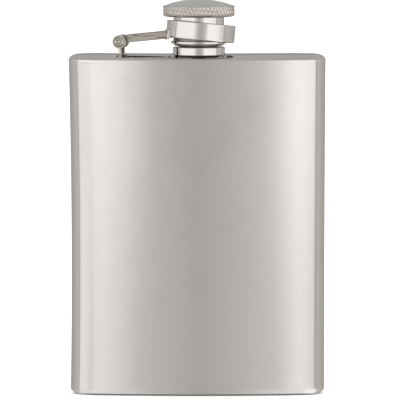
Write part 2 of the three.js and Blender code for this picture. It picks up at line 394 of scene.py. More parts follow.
class ReliefTree:
    """A Geometry Nodes tree that cuts a winding pattern into a turned surface.

    The pattern's height comes from each point's angle and height about the neck's axis, and it
    moves the point along its radius, between two heights where the pattern fades out.
    """

    def __init__(self, name: str) -> None:
        """Starts the tree with the inputs that every relief has.

        Args:
            name: the tree's name.
        """
        self.tree = bpy.data.node_groups.new(name, "GeometryNodeTree")
        face = self.tree.interface
        face.new_socket("Geometry", in_out="INPUT", socket_type="NodeSocketGeometry")
        for label in ("Low", "High", "Fade", "Inner", "Depth", "Lead", "Starts"):
            face.new_socket(label, in_out="INPUT", socket_type="NodeSocketFloat")
        face.new_socket("Material", in_out="INPUT", socket_type="NodeSocketMaterial")
        face.new_socket("Geometry", in_out="OUTPUT", socket_type="NodeSocketGeometry")
        self.kit = NodeTools(self.tree)
        self.source = self.kit.add("NodeGroupInput")
        self._read_point()

    def _read_point(self) -> None:
        """Adds the nodes that give a point's angle, in turns, its height and its radius."""
        kit = self.kit
        place = kit.add("GeometryNodeInputPosition")
        split = kit.add("ShaderNodeSeparateXYZ")
        kit.link(place.outputs[0], split.inputs[0])
        x, y, self.height = split.outputs
        self.turns = kit.math("DIVIDE", kit.math("ARCTAN2", y, x), FULL_TURN)
        flat = kit.add("ShaderNodeCombineXYZ")
        kit.link(x, flat.inputs[0])
        kit.link(y, flat.inputs[1])
        self.outward = kit.add("ShaderNodeVectorMath", operation="NORMALIZE")
        kit.link(flat.outputs[0], self.outward.inputs[0])
        length = kit.add("ShaderNodeVectorMath", operation="LENGTH")
        kit.link(flat.outputs[0], length.inputs[0])
        self.radius = length.outputs["Value"]

    def ridge(self, hand: float) -> bpy.types.NodeSocket:
        """A wave from 0 to 1 that winds about the axis.

        Args:
            hand: 1 for right-hand windings, -1 for left-hand ones.

        Returns:
            The wave's output.
        """
        kit = self.kit
        rise = kit.math("DIVIDE", self.height, self.source.outputs["Lead"])
        around = kit.math("MULTIPLY", self.turns, self.source.outputs["Starts"])
        phase = kit.math("SUBTRACT", rise, kit.math("MULTIPLY", around, hand))
        wave = kit.math("PINGPONG", phase, 0.5)
        return kit.math("MULTIPLY", wave, 2.0)

    def close(self, wave: bpy.types.NodeSocket) -> bpy.types.NodeTree:
        """Moves the surface by the wave and ends the tree.

        Args:
            wave: the height of the pattern, from 0 to 1.

        Returns:
            The finished tree.
        """
        kit = self.kit
        inputs = self.source.outputs
        window = self._window(inputs)
        amount = kit.math("MULTIPLY", kit.math("MULTIPLY", wave, inputs["Depth"]), window)
        push = kit.add("ShaderNodeVectorMath", operation="SCALE")
        kit.link(self.outward.outputs[0], push.inputs[0])
        kit.link(amount, push.inputs["Scale"])
        shift = kit.add("GeometryNodeSetPosition")
        kit.link(inputs["Geometry"], shift.inputs["Geometry"])
        kit.link(push.outputs[0], shift.inputs["Offset"])
        real = kit.add("GeometryNodeRealizeInstances")
        kit.link(shift.outputs[0], real.inputs[0])
        coat = kit.add("GeometryNodeSetMaterial")
        kit.link(real.outputs[0], coat.inputs[0])
        kit.link(inputs["Material"], coat.inputs["Material"])
        end = kit.add("NodeGroupOutput")
        kit.link(coat.outputs[0], end.inputs[0])
        return self.tree

    def _window(self, inputs: bpy.types.bpy_prop_collection) -> bpy.types.NodeSocket:
        """A mask that is 1 on the patterned band and fades to 0 at its ends and inside it.

        Args:
            inputs: the tree's inputs.

        Returns:
            The mask's output.
        """
        kit = self.kit
        above = kit.math("SUBTRACT", self.height, inputs["Low"])
        above = kit.math("DIVIDE", above, inputs["Fade"], use_clamp=True)
        below = kit.math("SUBTRACT", inputs["High"], self.height)
        below = kit.math("DIVIDE", below, inputs["Fade"], use_clamp=True)
        outside = kit.math("GREATER_THAN", self.radius, inputs["Inner"])
        return kit.math("MULTIPLY", kit.math("MULTIPLY", above, below), outside)


def thread_tree() -> bpy.types.NodeTree:
    """A single thread with flattened crests.

    Returns:
        The tree.
    """
    crest = 0.7
    relief = ReliefTree("winding_thread")
    wave = relief.ridge(1.0)
    return relief.close(relief.kit.math("SMOOTH_MIN", wave, crest))


def knurl_tree() -> bpy.types.NodeTree:
    """A diamond knurl: pips left between two families of crossing grooves.

    Returns:
        The tree.
    """
    lift, depth = 0.4, 0.75
    relief = ReliefTree("diamond_knurl")
    shallow = relief.kit.math("MULTIPLY", relief.kit.math("ADD", relief.ridge(1.0), lift), depth)
    pips = relief.kit.math("MINIMUM", shallow, relief.ridge(-1.0))
    return relief.close(relief.kit.math("SUBTRACT", pips, 1.0))


@dataclass
class Relief:
    """A winding pattern on one band of a turned piece, in millimetres.

    Args:
        low: bottom of the band.
        high: top of the band.
        fade: height over which the pattern starts and ends.
        inner: radius inside which the surface is left alone.
        depth: height of the pattern along the radius, negative towards the axis.
        lead: rise of one winding in a full turn, divided by its starts.
        starts: number of windings side by side.
    """

    low: float
    high: float
    fade: float
    inner: float
    depth: float
    lead: float
    starts: int

    def apply(
        self, piece: bpy.types.Object, tree: bpy.types.NodeTree, material: bpy.types.Material,
    ) -> None:
        """Runs the tree on a piece and keeps the result as a plain mesh.

        Args:
            piece: the piece, whose mesh is replaced.
            tree: the relief's node tree.
            material: the finish of the result.
        """
        values = {
            "Low": self.low * MM,
            "High": self.high * MM,
            "Fade": self.fade * MM,
            "Inner": self.inner * MM,
            "Depth": self.depth * MM,
            "Lead": self.lead * MM,
            "Starts": float(self.starts),
            "Material": material,
        }
        modifier = piece.modifiers.new(tree.name, "NODES")
        modifier.node_group = tree
        for item in tree.interface.items_tree:
            if item.item_type == "SOCKET" and item.in_out == "INPUT" and item.name in values:
                modifier[item.identifier] = values[item.name]
        evaluated = piece.evaluated_get(bpy.context.evaluated_depsgraph_get())
        result = bpy.data.meshes.new_from_object(evaluated)
        piece.modifiers.remove(modifier)
        piece.data = result
        MeshKit.smooth(result)


# ---------------------------------------------------------------------------------------------
# Finishes
# ---------------------------------------------------------------------------------------------


class EffectGroups:
    """Shader node groups that more than one finish uses, each built once."""

    def __init__(self) -> None:
        """Builds the groups."""
        self.scratches = self._build_scratches()
        self.handling = self._build_handling()

    @staticmethod
    def _start(
        name: str, inputs: Sequence[str], outputs: Sequence[str],
    ) -> tuple[NodeTools, bpy.types.Node, bpy.types.Node]:
        """Starts a group whose sockets are all numbers.

        Args:
            name: the group's name.
            inputs: names of its number inputs.
            outputs: names of its number outputs.

        Returns:
            The tools for its tree, its input node and its output node.
        """
        tree = bpy.data.node_groups.new(name, "ShaderNodeTree")
        tree.interface.new_socket("Vector", in_out="INPUT", socket_type="NodeSocketVector")
        for label in inputs:
            tree.interface.new_socket(label, in_out="INPUT", socket_type="NodeSocketFloat")
        for label in outputs:
            tree.interface.new_socket(label, in_out="OUTPUT", socket_type="NodeSocketFloat")
        kit = NodeTools(tree)
        return kit, kit.add("NodeGroupInput"), kit.add("NodeGroupOutput")

    def _build_scratches(self) -> bpy.types.NodeTree:
        """Fine polishing lines, drawn out by the scale along each axis, as a height and a mask.

        Returns:
            The group.
        """
        kit, source, end = self._start("polishing_lines", ("X", "Y", "Z"), ("Height", "Mask"))
        stretch = kit.add("ShaderNodeCombineXYZ")
        for axis in range(3):
            kit.link(source.outputs["XYZ"[axis]], stretch.inputs[axis])
        scaled = kit.add("ShaderNodeVectorMath", operation="MULTIPLY")
        kit.link(source.outputs["Vector"], scaled.inputs[0])
        kit.link(stretch.outputs[0], scaled.inputs[1])
        lines = kit.add("ShaderNodeTexNoise")
        lines.inputs["Scale"].default_value = 1.0
        lines.inputs["Detail"].default_value = 3.0
        lines.inputs["Roughness"].default_value = 0.6
        kit.link(scaled.outputs[0], lines.inputs["Vector"])
        kit.link(lines.outputs[0], end.inputs["Height"])
        sharp = kit.add("ShaderNodeMapRange")
        sharp.inputs["From Min"].default_value = 0.56
        sharp.inputs["From Max"].default_value = 0.72
        kit.link(lines.outputs[0], sharp.inputs["Value"])
        kit.link(sharp.outputs[0], end.inputs["Mask"])
        return kit.tree

    def _build_handling(self) -> bpy.types.NodeTree:
        """Faint smears and haze left by handling, as a mask.

        Returns:
            The group.
        """
        kit, source, end = self._start("handling_haze", ("Scale",), ("Mask",))
        broad = kit.add("ShaderNodeTexNoise")
        broad.inputs["Detail"].default_value = 4.0
        broad.inputs["Roughness"].default_value = 0.65
        broad.inputs["Distortion"].default_value = 0.6
        kit.link(source.outputs["Vector"], broad.inputs["Vector"])
        kit.link(source.outputs["Scale"], broad.inputs["Scale"])
        soft = kit.add("ShaderNodeMapRange", interpolation_type="SMOOTHSTEP")
        soft.inputs["From Min"].default_value = 0.45
        soft.inputs["From Max"].default_value = 0.75
        kit.link(broad.outputs[0], soft.inputs["Value"])
        kit.link(soft.outputs[0], end.inputs["Mask"])
        return kit.tree


@dataclass(frozen=True)
class MetalFinish:
    """A steel finish.

    Args:
        name: the material's name.
        tint: base colour.
        dull: colour in scratches and haze.
        roughness: roughness of the clean surface.
        haze: added roughness where it has been handled.
        lines: how many polishing lines there are per metre along each axis.
        line_depth: height of the polishing lines, in metres.
        line_mark: how far the lines dull the colour, from 0 to 1.
        turn: how the lines are turned about X, Y and Z, in degrees.
        wave_depth: height of the sheet's own waviness, in metres.
    """

    name: str
    tint: tuple[float, float, float]
    dull: tuple[float, float, float]
    roughness: float
    haze: float
    lines: tuple[float, float, float]
    line_depth: float
    line_mark: float
    wave_depth: float = 0.0
    turn: tuple[float, float, float] = (0.0, 0.0, 0.0)

    # Size of the smears and of the waviness, in noise cycles per metre.
    HAZE_SCALE = 55.0
    WAVE_SCALE = 38.0
    # How far the smears dull the colour.
    HAZE_MARK = 0.12

    def build(self, effects: EffectGroups) -> bpy.types.Material:
        """Makes the material.

        Args:
            effects: the shared groups.

        Returns:
            The material.
        """
        material = bpy.data.materials.new(self.name)
        material.use_nodes = True
        kit = NodeTools(material.node_tree)
        shader = material.node_tree.nodes["Principled BSDF"]
        shader.inputs["Metallic"].default_value = 1.0
        place = kit.add("ShaderNodeTexCoord").outputs["Object"]
        turned = kit.add("ShaderNodeMapping", vector_type="TEXTURE")
        turned.inputs["Rotation"].default_value = [math.radians(angle) for angle in self.turn]
        kit.link(place, turned.inputs["Vector"])
        across, along, up = self.lines
        lines = self._group(kit, effects.scratches, turned.outputs[0], X=across, Y=along, Z=up)
        haze = self._group(kit, effects.handling, place, Scale=self.HAZE_SCALE)
        mix = kit.add("ShaderNodeMix", data_type="RGBA")
        mix.inputs["A"].default_value = (*self.tint, 1.0)
        mix.inputs["B"].default_value = (*self.dull, 1.0)
        worn = kit.math("MULTIPLY", lines.outputs["Mask"], self.line_mark)
        smeared = kit.math("MULTIPLY", haze.outputs["Mask"], self.HAZE_MARK)
        kit.link(kit.math("ADD", worn, smeared), mix.inputs["Factor"])
        kit.link(mix.outputs["Result"], shader.inputs["Base Color"])
        rough = kit.math("MULTIPLY", haze.outputs["Mask"], self.haze)
        scored = kit.math("MULTIPLY", lines.outputs["Mask"], self.haze * self.line_mark)
        rough = kit.math("ADD", rough, scored)
        kit.link(kit.math("ADD", rough, self.roughness), shader.inputs["Roughness"])
        height = kit.math("MULTIPLY", lines.outputs["Height"], self.line_depth)
        if self.wave_depth:
            wave = kit.add("ShaderNodeTexNoise")
            wave.inputs["Scale"].default_value = self.WAVE_SCALE
            wave.inputs["Detail"].default_value = 1.0
            kit.link(place, wave.inputs["Vector"])
            swell = kit.math("MULTIPLY", wave.outputs[0], self.wave_depth)
            height = kit.math("ADD", height, swell)
        bump = kit.add("ShaderNodeBump")
        bump.inputs["Distance"].default_value = 1.0
        kit.link(height, bump.inputs["Height"])
        kit.link(bump.outputs[0], shader.inputs["Normal"])
        return material

    @staticmethod
    def _group(
        kit: NodeTools, tree: bpy.types.NodeTree, place: bpy.types.NodeSocket, **values: float,
    ) -> bpy.types.Node:
        """Places a shared group with its own values.

        Args:
            kit: the tools of the material's tree.
            tree: the group.
            place: the coordinates that it reads.
            values: its number inputs.

        Returns:
            The group's node.
        """
        node = kit.add("ShaderNodeGroup", node_tree=tree)
        kit.link(place, node.inputs["Vector"])
        for label, value in values.items():
            node.inputs[label].default_value = value
        return node


@dataclass(frozen=True)
class MouldedFinish:
    """A plastic or rubber finish.

    Args:
        name: the material's name.
        colour: base colour.
        roughness: roughness of the clean surface.
        grain: height of the moulded grain, in metres.
    """

    name: str
    colour: tuple[float, float, float]
    roughness: float
    grain: float

    # Size of the smears and of the grain, in noise cycles per metre.
    HAZE_SCALE = 160.0
    GRAIN_SCALE = 2600.0
    # How much the smears roughen the surface, and how bright they leave its colour.
    HAZE_ROUGHNESS = 0.12
    HAZE_SHADE = 0.86

    def build(self, effects: EffectGroups) -> bpy.types.Material:
        """Makes the material.

        Args:
            effects: the shared groups.

        Returns:
            The material.
        """
        material = bpy.data.materials.new(self.name)
        material.use_nodes = True
        kit = NodeTools(material.node_tree)
        shader = material.node_tree.nodes["Principled BSDF"]
        place = kit.add("ShaderNodeTexCoord").outputs["Object"]
        haze = kit.add("ShaderNodeGroup", node_tree=effects.handling)
        haze.inputs["Scale"].default_value = self.HAZE_SCALE
        kit.link(place, haze.inputs["Vector"])
        mix = kit.add("ShaderNodeMix", data_type="RGBA")
        mix.inputs["A"].default_value = (*self.colour, 1.0)
        mix.inputs["B"].default_value = (*[value * self.HAZE_SHADE for value in self.colour], 1.0)
        kit.link(haze.outputs["Mask"], mix.inputs["Factor"])
        kit.link(mix.outputs["Result"], shader.inputs["Base Color"])
        rough = kit.math("MULTIPLY", haze.outputs["Mask"], self.HAZE_ROUGHNESS)
        kit.link(kit.math("ADD", rough, self.roughness), shader.inputs["Roughness"])
        grain = kit.add("ShaderNodeTexNoise")
        grain.inputs["Scale"].default_value = self.GRAIN_SCALE
        kit.link(place, grain.inputs["Vector"])
        bump = kit.add("ShaderNodeBump")
        bump.inputs["Distance"].default_value = 1.0
        kit.link(kit.math("MULTIPLY", grain.outputs[0], self.grain), bump.inputs["Height"])
        kit.link(bump.outputs[0], shader.inputs["Normal"])
        return material


# Colours that several finishes share.
STEEL = (0.90, 0.870, 0.855)
TURNED_STEEL = (0.905, 0.868, 0.835)
DULL_STEEL = (0.62, 0.60, 0.57)


class Finishes:
    """Every finish of the flask."""

    def __init__(self) -> None:
        """Builds the materials."""
        effects = EffectGroups()
        self.mirror = MetalFinish(
            name="mirror_steel", tint=STEEL, dull=DULL_STEEL, roughness=0.025, haze=0.02,
            lines=(900.0, 900.0, 50.0), line_depth=2.0e-8, line_mark=0.05, wave_depth=6.0e-7,
        ).build(effects)
        self.bright = MetalFinish(
            name="bright_turned_steel", tint=TURNED_STEEL, dull=DULL_STEEL, roughness=0.035,
            haze=0.05, lines=(300.0, 300.0, 7000.0), line_depth=5.0e-8, line_mark=0.15,
        ).build(effects)
        self.buffed = MetalFinish(
            name="buffed_steel", tint=(0.82, 0.775, 0.715), dull=(0.26, 0.235, 0.20),
            roughness=0.14, haze=0.2,
            lines=(900.0, 900.0, 2600.0), line_depth=6.0e-6, line_mark=0.6,
        ).build(effects)
        self.drawn = MetalFinish(
            name="drawn_steel", tint=(0.465, 0.42, 0.37), dull=(0.13, 0.11, 0.085),
            roughness=0.18, haze=0.2,
            lines=(110.0, 2100.0, 2100.0), line_depth=1.4e-5, line_mark=2.0,
            turn=(0.0, -5.2, -11.0),
        ).build(effects)
        self.satin = MetalFinish(
            name="satin_steel", tint=(0.74, 0.743, 0.752), dull=(0.62, 0.62, 0.62),
            roughness=0.42, haze=0.06,
            lines=(5200.0, 5200.0, 5200.0), line_depth=6.0e-7, line_mark=0.3,
        ).build(effects)
        self.knurled = MetalFinish(
            name="knurled_steel", tint=(0.75, 0.697, 0.642), dull=(0.34, 0.31, 0.27),
            roughness=0.20, haze=0.15,
            lines=(3200.0, 3200.0, 3200.0), line_depth=2.0e-6, line_mark=0.6,
        ).build(effects)
        # Dark weld scale; the same dark also paints the shade on the arm's underside, on the web
        # between the bracket's ears and round the collar's foot.
        self.scale = MetalFinish(
            name="weld_scale_and_painted_shade", tint=(0.10, 0.085, 0.07), dull=(0.03, 0.025, 0.02),
            roughness=0.35, haze=0.3,
            lines=(1800.0, 1800.0, 1800.0), line_depth=2.0e-5, line_mark=0.8,
        ).build(effects)
        # Painted shade: a dark steel for the spout's thread, the pin's punched rings, the ring's
        # underside, the bush's skirt and the arm between the ears, where shade falls.
        self.shadowed = MetalFinish(
            name="painted_shade_steel", tint=(0.34, 0.32, 0.29), dull=(0.12, 0.11, 0.09),
            roughness=0.3, haze=0.2,
            lines=(400.0, 400.0, 5200.0), line_depth=6.0e-6, line_mark=0.8,
        ).build(effects)
        self.plastic = MouldedFinish(
            name="moulded_plastic", colour=(0.80, 0.79, 0.75), roughness=0.45, grain=6.0e-6,
        ).build(effects)
        self.silicone = MouldedFinish(
            name="soft_silicone", colour=(0.62, 0.63, 0.63), roughness=0.7, grain=4.0e-6,
        ).build(effects)


# ---------------------------------------------------------------------------------------------
# Body
# ---------------------------------------------------------------------------------------------


@dataclass
class PlanPoint:
    """A point of the body's plan and the direction that faces out of it there."""

    x: float
    y: float
    out_x: float
    out_y: float


@dataclass
class KidneyPlan:
    """The plan of the body: a convex front, a hollow back and two round ends.

    Args:
        width: across the ends, in millimetres.
        front: foremost point, in millimetres.
        front_radius: radius of the convex front.
        back_radius: radius of the hollow back.
        end_radius: radius of the ends.
        steps: flats in each of the four arcs.
    """

    width: float
    front: float
    front_radius: float = 165.0
    back_radius: float = 200.0
    end_radius: float = 10.7
    steps: int = 60

    def points(self) -> list[PlanPoint]:
        """Points round the plan, anticlockwise from the front's left end.

        Returns:
            The points with their outward directions.
        """
        end_x = self.width / 2.0 - self.end_radius
        front_y = self.front + self.front_radius
        end_y = front_y - math.sqrt((self.front_radius - self.end_radius) ** 2 - end_x**2)
        back_y = end_y + math.sqrt((self.back_radius + self.end_radius) ** 2 - end_x**2)
        front_half = math.asin(end_x / (self.front_radius - self.end_radius))
        back_half = math.asin(end_x / (self.back_radius + self.end_radius))
        quarter = math.pi / 2.0
        arcs = (
            (0.0, front_y, self.front_radius, -quarter - front_half, -quarter + front_half, 1.0),
            (end_x, end_y, self.end_radius, -quarter + front_half, quarter + back_half, 1.0),
            (0.0, back_y, self.back_radius, -quarter + back_half, -quarter - back_half, -1.0),
            (-end_x, end_y, self.end_radius, quarter - back_half, 3.0 * quarter - front_half, 1.0),
        )
        found = []
        for centre_x, centre_y, radius, start, stop, side in arcs:
            for step in range(self.steps):
                angle = start + (stop - start) * step / self.steps
                across, along = math.cos(angle), math.sin(angle)
                x, y = centre_x + radius * across, centre_y + radius * along
                found.append(PlanPoint(x, y, side * across, side * along))
        return found


@dataclass(frozen=True)
class SideLine:
    """How far one end of the body stands from the middle: a shallow hollow, in millimetres.

    Args:
        reach: the least distance.
        height: the height where it is least.
        gain: growth with the square of the distance from that height.
    """

    reach: float
    height: float
    gain: float

    def at(self, height: float) -> float:
        """The distance at one height."""
        return self.reach + self.gain * (height - self.height) ** 2


@dataclass
class BodyShell:
    """The sheet-metal body: a sleeve between two pressed plates, in millimetres.

    Args:
        finishes: the finishes to dress it in.
        sheet: thickness of the metal.
        edge_in: how far the rolled edge reaches in at the round ends.
        edge_in_front: how far it reaches in along the front and back.
        edge_high: height of the rolled edge at the round ends.
        edge_high_front: its height along the front and back.
        crown: how far the top plate falls towards its front edge.
        neck_hole: radius of the hole for the neck.
        left: the line of the left end.
        right: the line of the right end.
        slide: how far the body sits to one side of the neck.
        sleeve_rows: number of rows up the sleeve.
        edge_rows: number of flats in the rolled edge.
        flat_rows: number of rows from the rolled edge to the neck's hole.
    """

    finishes: Finishes
    sheet: float = 0.7
    edge_in: float = 3.2
    edge_in_front: float = 1.3
    edge_high: float = 2.1
    edge_high_front: float = 1.1
    crown: float = 0.85
    neck_hole: float = 7.0
    left: SideLine = SideLine(45.58, 45.0, 1.78e-4)
    right: SideLine = SideLine(45.90, 5.0, 3.2e-5)
    slide: float = -0.5
    sleeve_rows: int = 48
    edge_rows: int = 14
    flat_rows: int = 10
    plan: list[PlanPoint] = field(init=False)

    # How far to the side a wall faces where the rolled edge begins to widen.
    CORNER = 0.62
    # Distances behind the front edge where the top plate starts to fall and where it has fallen.
    FALL_START = 7.4
    FALL_END = 2.9
    # Shares of the base's rim where its flat is divided.
    BASE_ROWS = (0.97, 0.8, 0.5)

    def __post_init__(self) -> None:
        """Reads the body's size from the frame."""
        low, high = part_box("body_sleeve")
        self.width = (high.x - low.x) / MM
        self.low = low.z / MM
        self.high = high.z / MM
        self.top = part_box("top_plate")[1].z / MM
        self.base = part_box("bottom_plate")[0].z / MM
        plan = KidneyPlan(self.width, low.y / MM)
        self.front, self.front_radius = plan.front, plan.front_radius
        self.plan = plan.points()

    def ring(
        self,
        inset: float,
        height: float,
        edge: float = 0.0,
        drop: float = 0.0,
        crown: float = 0.0,
    ) -> Ring:
        """The plan at one height.

        Args:
            inset: how far it is moved in all round.
            height: its height.
            edge: share of the rolled edge's reach that it is moved in further.
            drop: share of the rolled edge's height that it is moved by, negative downwards.
            crown: share of the top plate's fall that lowers the front.

        Returns:
            The ring of points.
        """
        left = 2.0 * self.left.at(height) / self.width
        right = 2.0 * self.right.at(height) / self.width
        ring = []
        for point in self.plan:
            side = max(0.0, (abs(point.out_x) - self.CORNER) / (1.0 - self.CORNER)) ** 1.5
            reach = self.edge_in_front + (self.edge_in - self.edge_in_front) * side
            rise = self.edge_high_front + (self.edge_high - self.edge_high_front) * side
            shift = inset + edge * max(reach - inset, 0.0)
            x = point.x - point.out_x * shift
            stretch = left + (right - left) * (0.5 + point.x / self.width)
            level = height + drop * rise
            inner_x, inner_y = point.x - point.out_x * reach, point.y - point.out_y * reach
            level -= crown * self.fall(inner_x, inner_y)
            ring.append((x * stretch + self.slide, point.y - point.out_y * shift, level))
        return ring

    def fall(self, x: float, y: float) -> float:
        """How far the top plate has fallen at a place, as it nears its front edge.

        Args:
            x: the place's distance to the right of the neck's axis.
            y: its distance behind the neck's axis.

        Returns:
            The fall.
        """
        edge = self.front + self.front_radius - math.sqrt(self.front_radius**2 - x**2)
        share = (self.FALL_START - (y - edge)) / (self.FALL_START - self.FALL_END)
        return self.crown * min(max(share, 0.0), 1.0) ** 2

    def edge(self, inset: float, level: float, sense: float) -> list[Ring]:
        """The rolled edge, from the wall to the flat.

        Args:
            inset: depth under the outer surface.
            level: height of the flat's outer face.
            sense: 1 for the top and -1 for the base.

        Returns:
            The rings in order.
        """
        rings = []
        for step in range(self.edge_rows + 1):
            angle = math.pi / 2.0 * step / self.edge_rows
            share = 1.0 - math.sin(angle)
            height = level - sense * inset * (1.0 - share)
            edge = 1.0 - math.cos(angle)
            rings.append(self.ring(inset, height, edge, -sense * share, max(sense, 0.0)))
        return rings

    def build(self) -> None:
        """Makes and dresses the sleeve and both plates."""
        settle(self._sleeve(), self.finishes.mirror, Body.FLASK, Slot.POLISHED, "body_sleeve")
        settle(self._top(), self.finishes.mirror, Body.FLASK, Slot.POLISHED, "top_plate")
        settle(self._base(), self.finishes.mirror, Body.FLASK, Slot.POLISHED, "bottom_plate")

    def _sleeve(self) -> bpy.types.Object:
        """The tube between the plates.

        Returns:
            The sleeve.
        """
        heights = spread(self.low, self.high, self.sleeve_rows)
        outer = [self.ring(0.0, height) for height in heights]
        inner = [self.ring(self.sheet, height) for height in reversed(heights)]
        return MeshKit.skin("sleeve_polished", outer + inner, loop=True)

    def _flat_to_hole(self, outer: Ring, height: float) -> list[Ring]:
        """Rings from the rolled edge in to the neck's hole.

        Args:
            outer: the last ring of the rolled edge.
            height: the flat's height.

        Returns:
            The rings in order.
        """
        rings = []
        for step in range(1, self.flat_rows + 1):
            t = step / self.flat_rows
            ring = []
            for x, y, _ in outer:
                reach = math.hypot(x, y)
                scale = (1.0 - t) + t * self.neck_hole / reach
                ring.append((x * scale, y * scale, height - self.fall(x * scale, y * scale)))
            rings.append(ring)
        return rings

    def _top(self) -> bpy.types.Object:
        """The top plate, with its rolled edge and the hole for the neck.

        Returns:
            The plate.
        """
        wall = [self.ring(0.0, self.high)]
        outer = wall + self.edge(0.0, self.top, 1.0)
        outer += self._flat_to_hole(outer[-1], self.top)
        under = [self.ring(self.sheet, self.high)] + self.edge(self.sheet, self.top, 1.0)
        under += self._flat_to_hole(under[-1], self.top - self.sheet)
        return MeshKit.skin("top_polished", outer + under[::-1], loop=True)

    def _base(self) -> bpy.types.Object:
        """The base plate, which the flask stands on.

        Returns:
            The plate.
        """
        outer = [self.ring(0.0, self.low)] + self.edge(0.0, self.base, -1.0)
        inner = [self.ring(self.sheet, self.low)] + self.edge(self.sheet, self.base, -1.0)
        for rings, height in ((outer, self.base), (inner, self.base + self.sheet)):
            rim = rings[-1]
            for scale in self.BASE_ROWS:
                rings.append([(x * scale, y * scale, height) for x, y, _ in rim])
        return MeshKit.skin("base_polished", outer[::-1] + inner, loop=False)


# ---------------------------------------------------------------------------------------------
# Neck
# ---------------------------------------------------------------------------------------------


@dataclass
class Neck:
    """The threaded spout, its collar and the weld, in millimetres.

    Args:
        finishes: the finishes to dress it in.
        threads: the tree that winds the thread.
        fall: gives how far the top plate has fallen at a place.
        bore: radius of the spout's bore.
        root: radius at the root of the thread.
        thread_rise: height of the thread.
        pitch: rise of the thread in one turn.
        thread_foot: height of the thread's start above the top plate.
        foot: height of the collar's foot above the top plate.
        weld_spread: how far the weld reaches past the collar at the front.
    """

    finishes: Finishes
    threads: bpy.types.NodeTree
    fall: Callable[[float, float], float]
    bore: float = 5.6
    root: float = 6.75
    thread_rise: float = 0.6
    pitch: float = 1.2
    thread_foot: float = 3.1
    foot: float = -0.2
    weld_spread: float = 1.5

    # Sections through the weld: (share of its spread past the collar, height above the plate).
    WELD = (
        (-1.8, -0.6), (0.6, -0.6), (1.0, -0.3), (1.0, 0.02),
        (0.75, 0.07), (0.35, 0.09), (-0.1, 0.02), (-1.8, 0.02),
    )
    WELD_STEPS = 144

    def build(self) -> None:
        """Makes and dresses the spout, the collar and the weld."""
        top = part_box("top_plate")[1].z / MM
        self._spout(top)
        self._collar(top)

    def _spout(self, top: float) -> None:
        """The spout, whose thread shows just above the collar; it is dressed in painted shade.

        Args:
            top: height of the top plate.
        """
        low, high = (corner.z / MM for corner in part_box("neck_spout"))
        start, stop = top + self.thread_foot, high - 0.5
        wall = [Corner(self.root, height) for height in spread(start, stop, 56)]
        outline = Outline([
            Corner(self.bore, low, 0.15),
            Corner(self.root, low, 0.15),
            *wall,
            Corner(self.root, high, 0.3),
            Corner(self.bore, high, 0.3),
        ])
        spout = MeshKit.turned("spout_threaded", outline.points(), steps=160)
        relief = Relief(start, stop, 0.6, self.root - 0.1, self.thread_rise, self.pitch, 1)
        # Painted shade: the thread sits darkened in the gap under the cap.
        relief.apply(spout, self.threads, self.finishes.shadowed)
        settle(spout, self.finishes.shadowed, Body.FLASK, Slot.SATIN, "neck_spout")

    def _collar(self, top: float) -> None:
        """The turned ring round the spout's foot, and the dark weld that it stands on, whose dark
        also paints shade there.

        Args:
            top: height of the top plate.
        """
        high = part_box("neck_collar")[1]
        radius = high.x / MM
        crown = high.z / MM
        foot = top + self.foot
        outline = Outline([
            Corner(self.root + 0.25, foot),
            Corner(radius - 0.9, foot),
            Corner(radius - 0.15, foot, 0.1),
            Corner(radius, foot + 0.2, 0.1),
            Corner(radius, crown, 0.35),
            Corner(self.root + 0.25, crown, 0.1),
        ])
        collar = MeshKit.turned("collar_turned", outline.points(), steps=160)
        settle(collar, self.finishes.bright, Body.FLASK, Slot.POLISHED, "neck_collar")
        self._weld(top, radius)

    def _weld(self, top: float, radius: float) -> None:
        """The dark, uneven weld that the collar stands on; it follows the plate as it falls, and
        its dark, widest at the front, also paints the shade and dark reflection round the collar's
        foot.

        Args:
            top: height of the top plate.
            radius: the collar's radius.
        """
        rings = []
        for share, level in self.WELD:
            ring = []
            for step in range(self.WELD_STEPS):
                angle = FULL_TURN * step / self.WELD_STEPS
                way = Vector((math.cos(angle), math.sin(angle), 0.0))
                uneven = 1.0 + 0.2 * noise.noise(way * 3.1)
                # The weld widens towards the front, where its dark paints the shade and dark
                # reflection under the collar.
                thick = self.weld_spread * (0.3 + 0.7 * max(0.0, -way.y) ** 2) * uneven
                outside = share > 0.0
                reach = radius + share * (thick if outside else 1.0)
                x, y = reach * way.x, reach * way.y
                ring.append((x, y, top + level - (self.fall(x, y) if outside else 0.0)))
            rings.append(ring)
        weld = MeshKit.skin("collar_weld_and_painted_shade", rings, loop=True)
        settle(weld, self.finishes.scale, Body.FLASK, Slot.SATIN)


# ---------------------------------------------------------------------------------------------
# Hinge and arm
# ---------------------------------------------------------------------------------------------


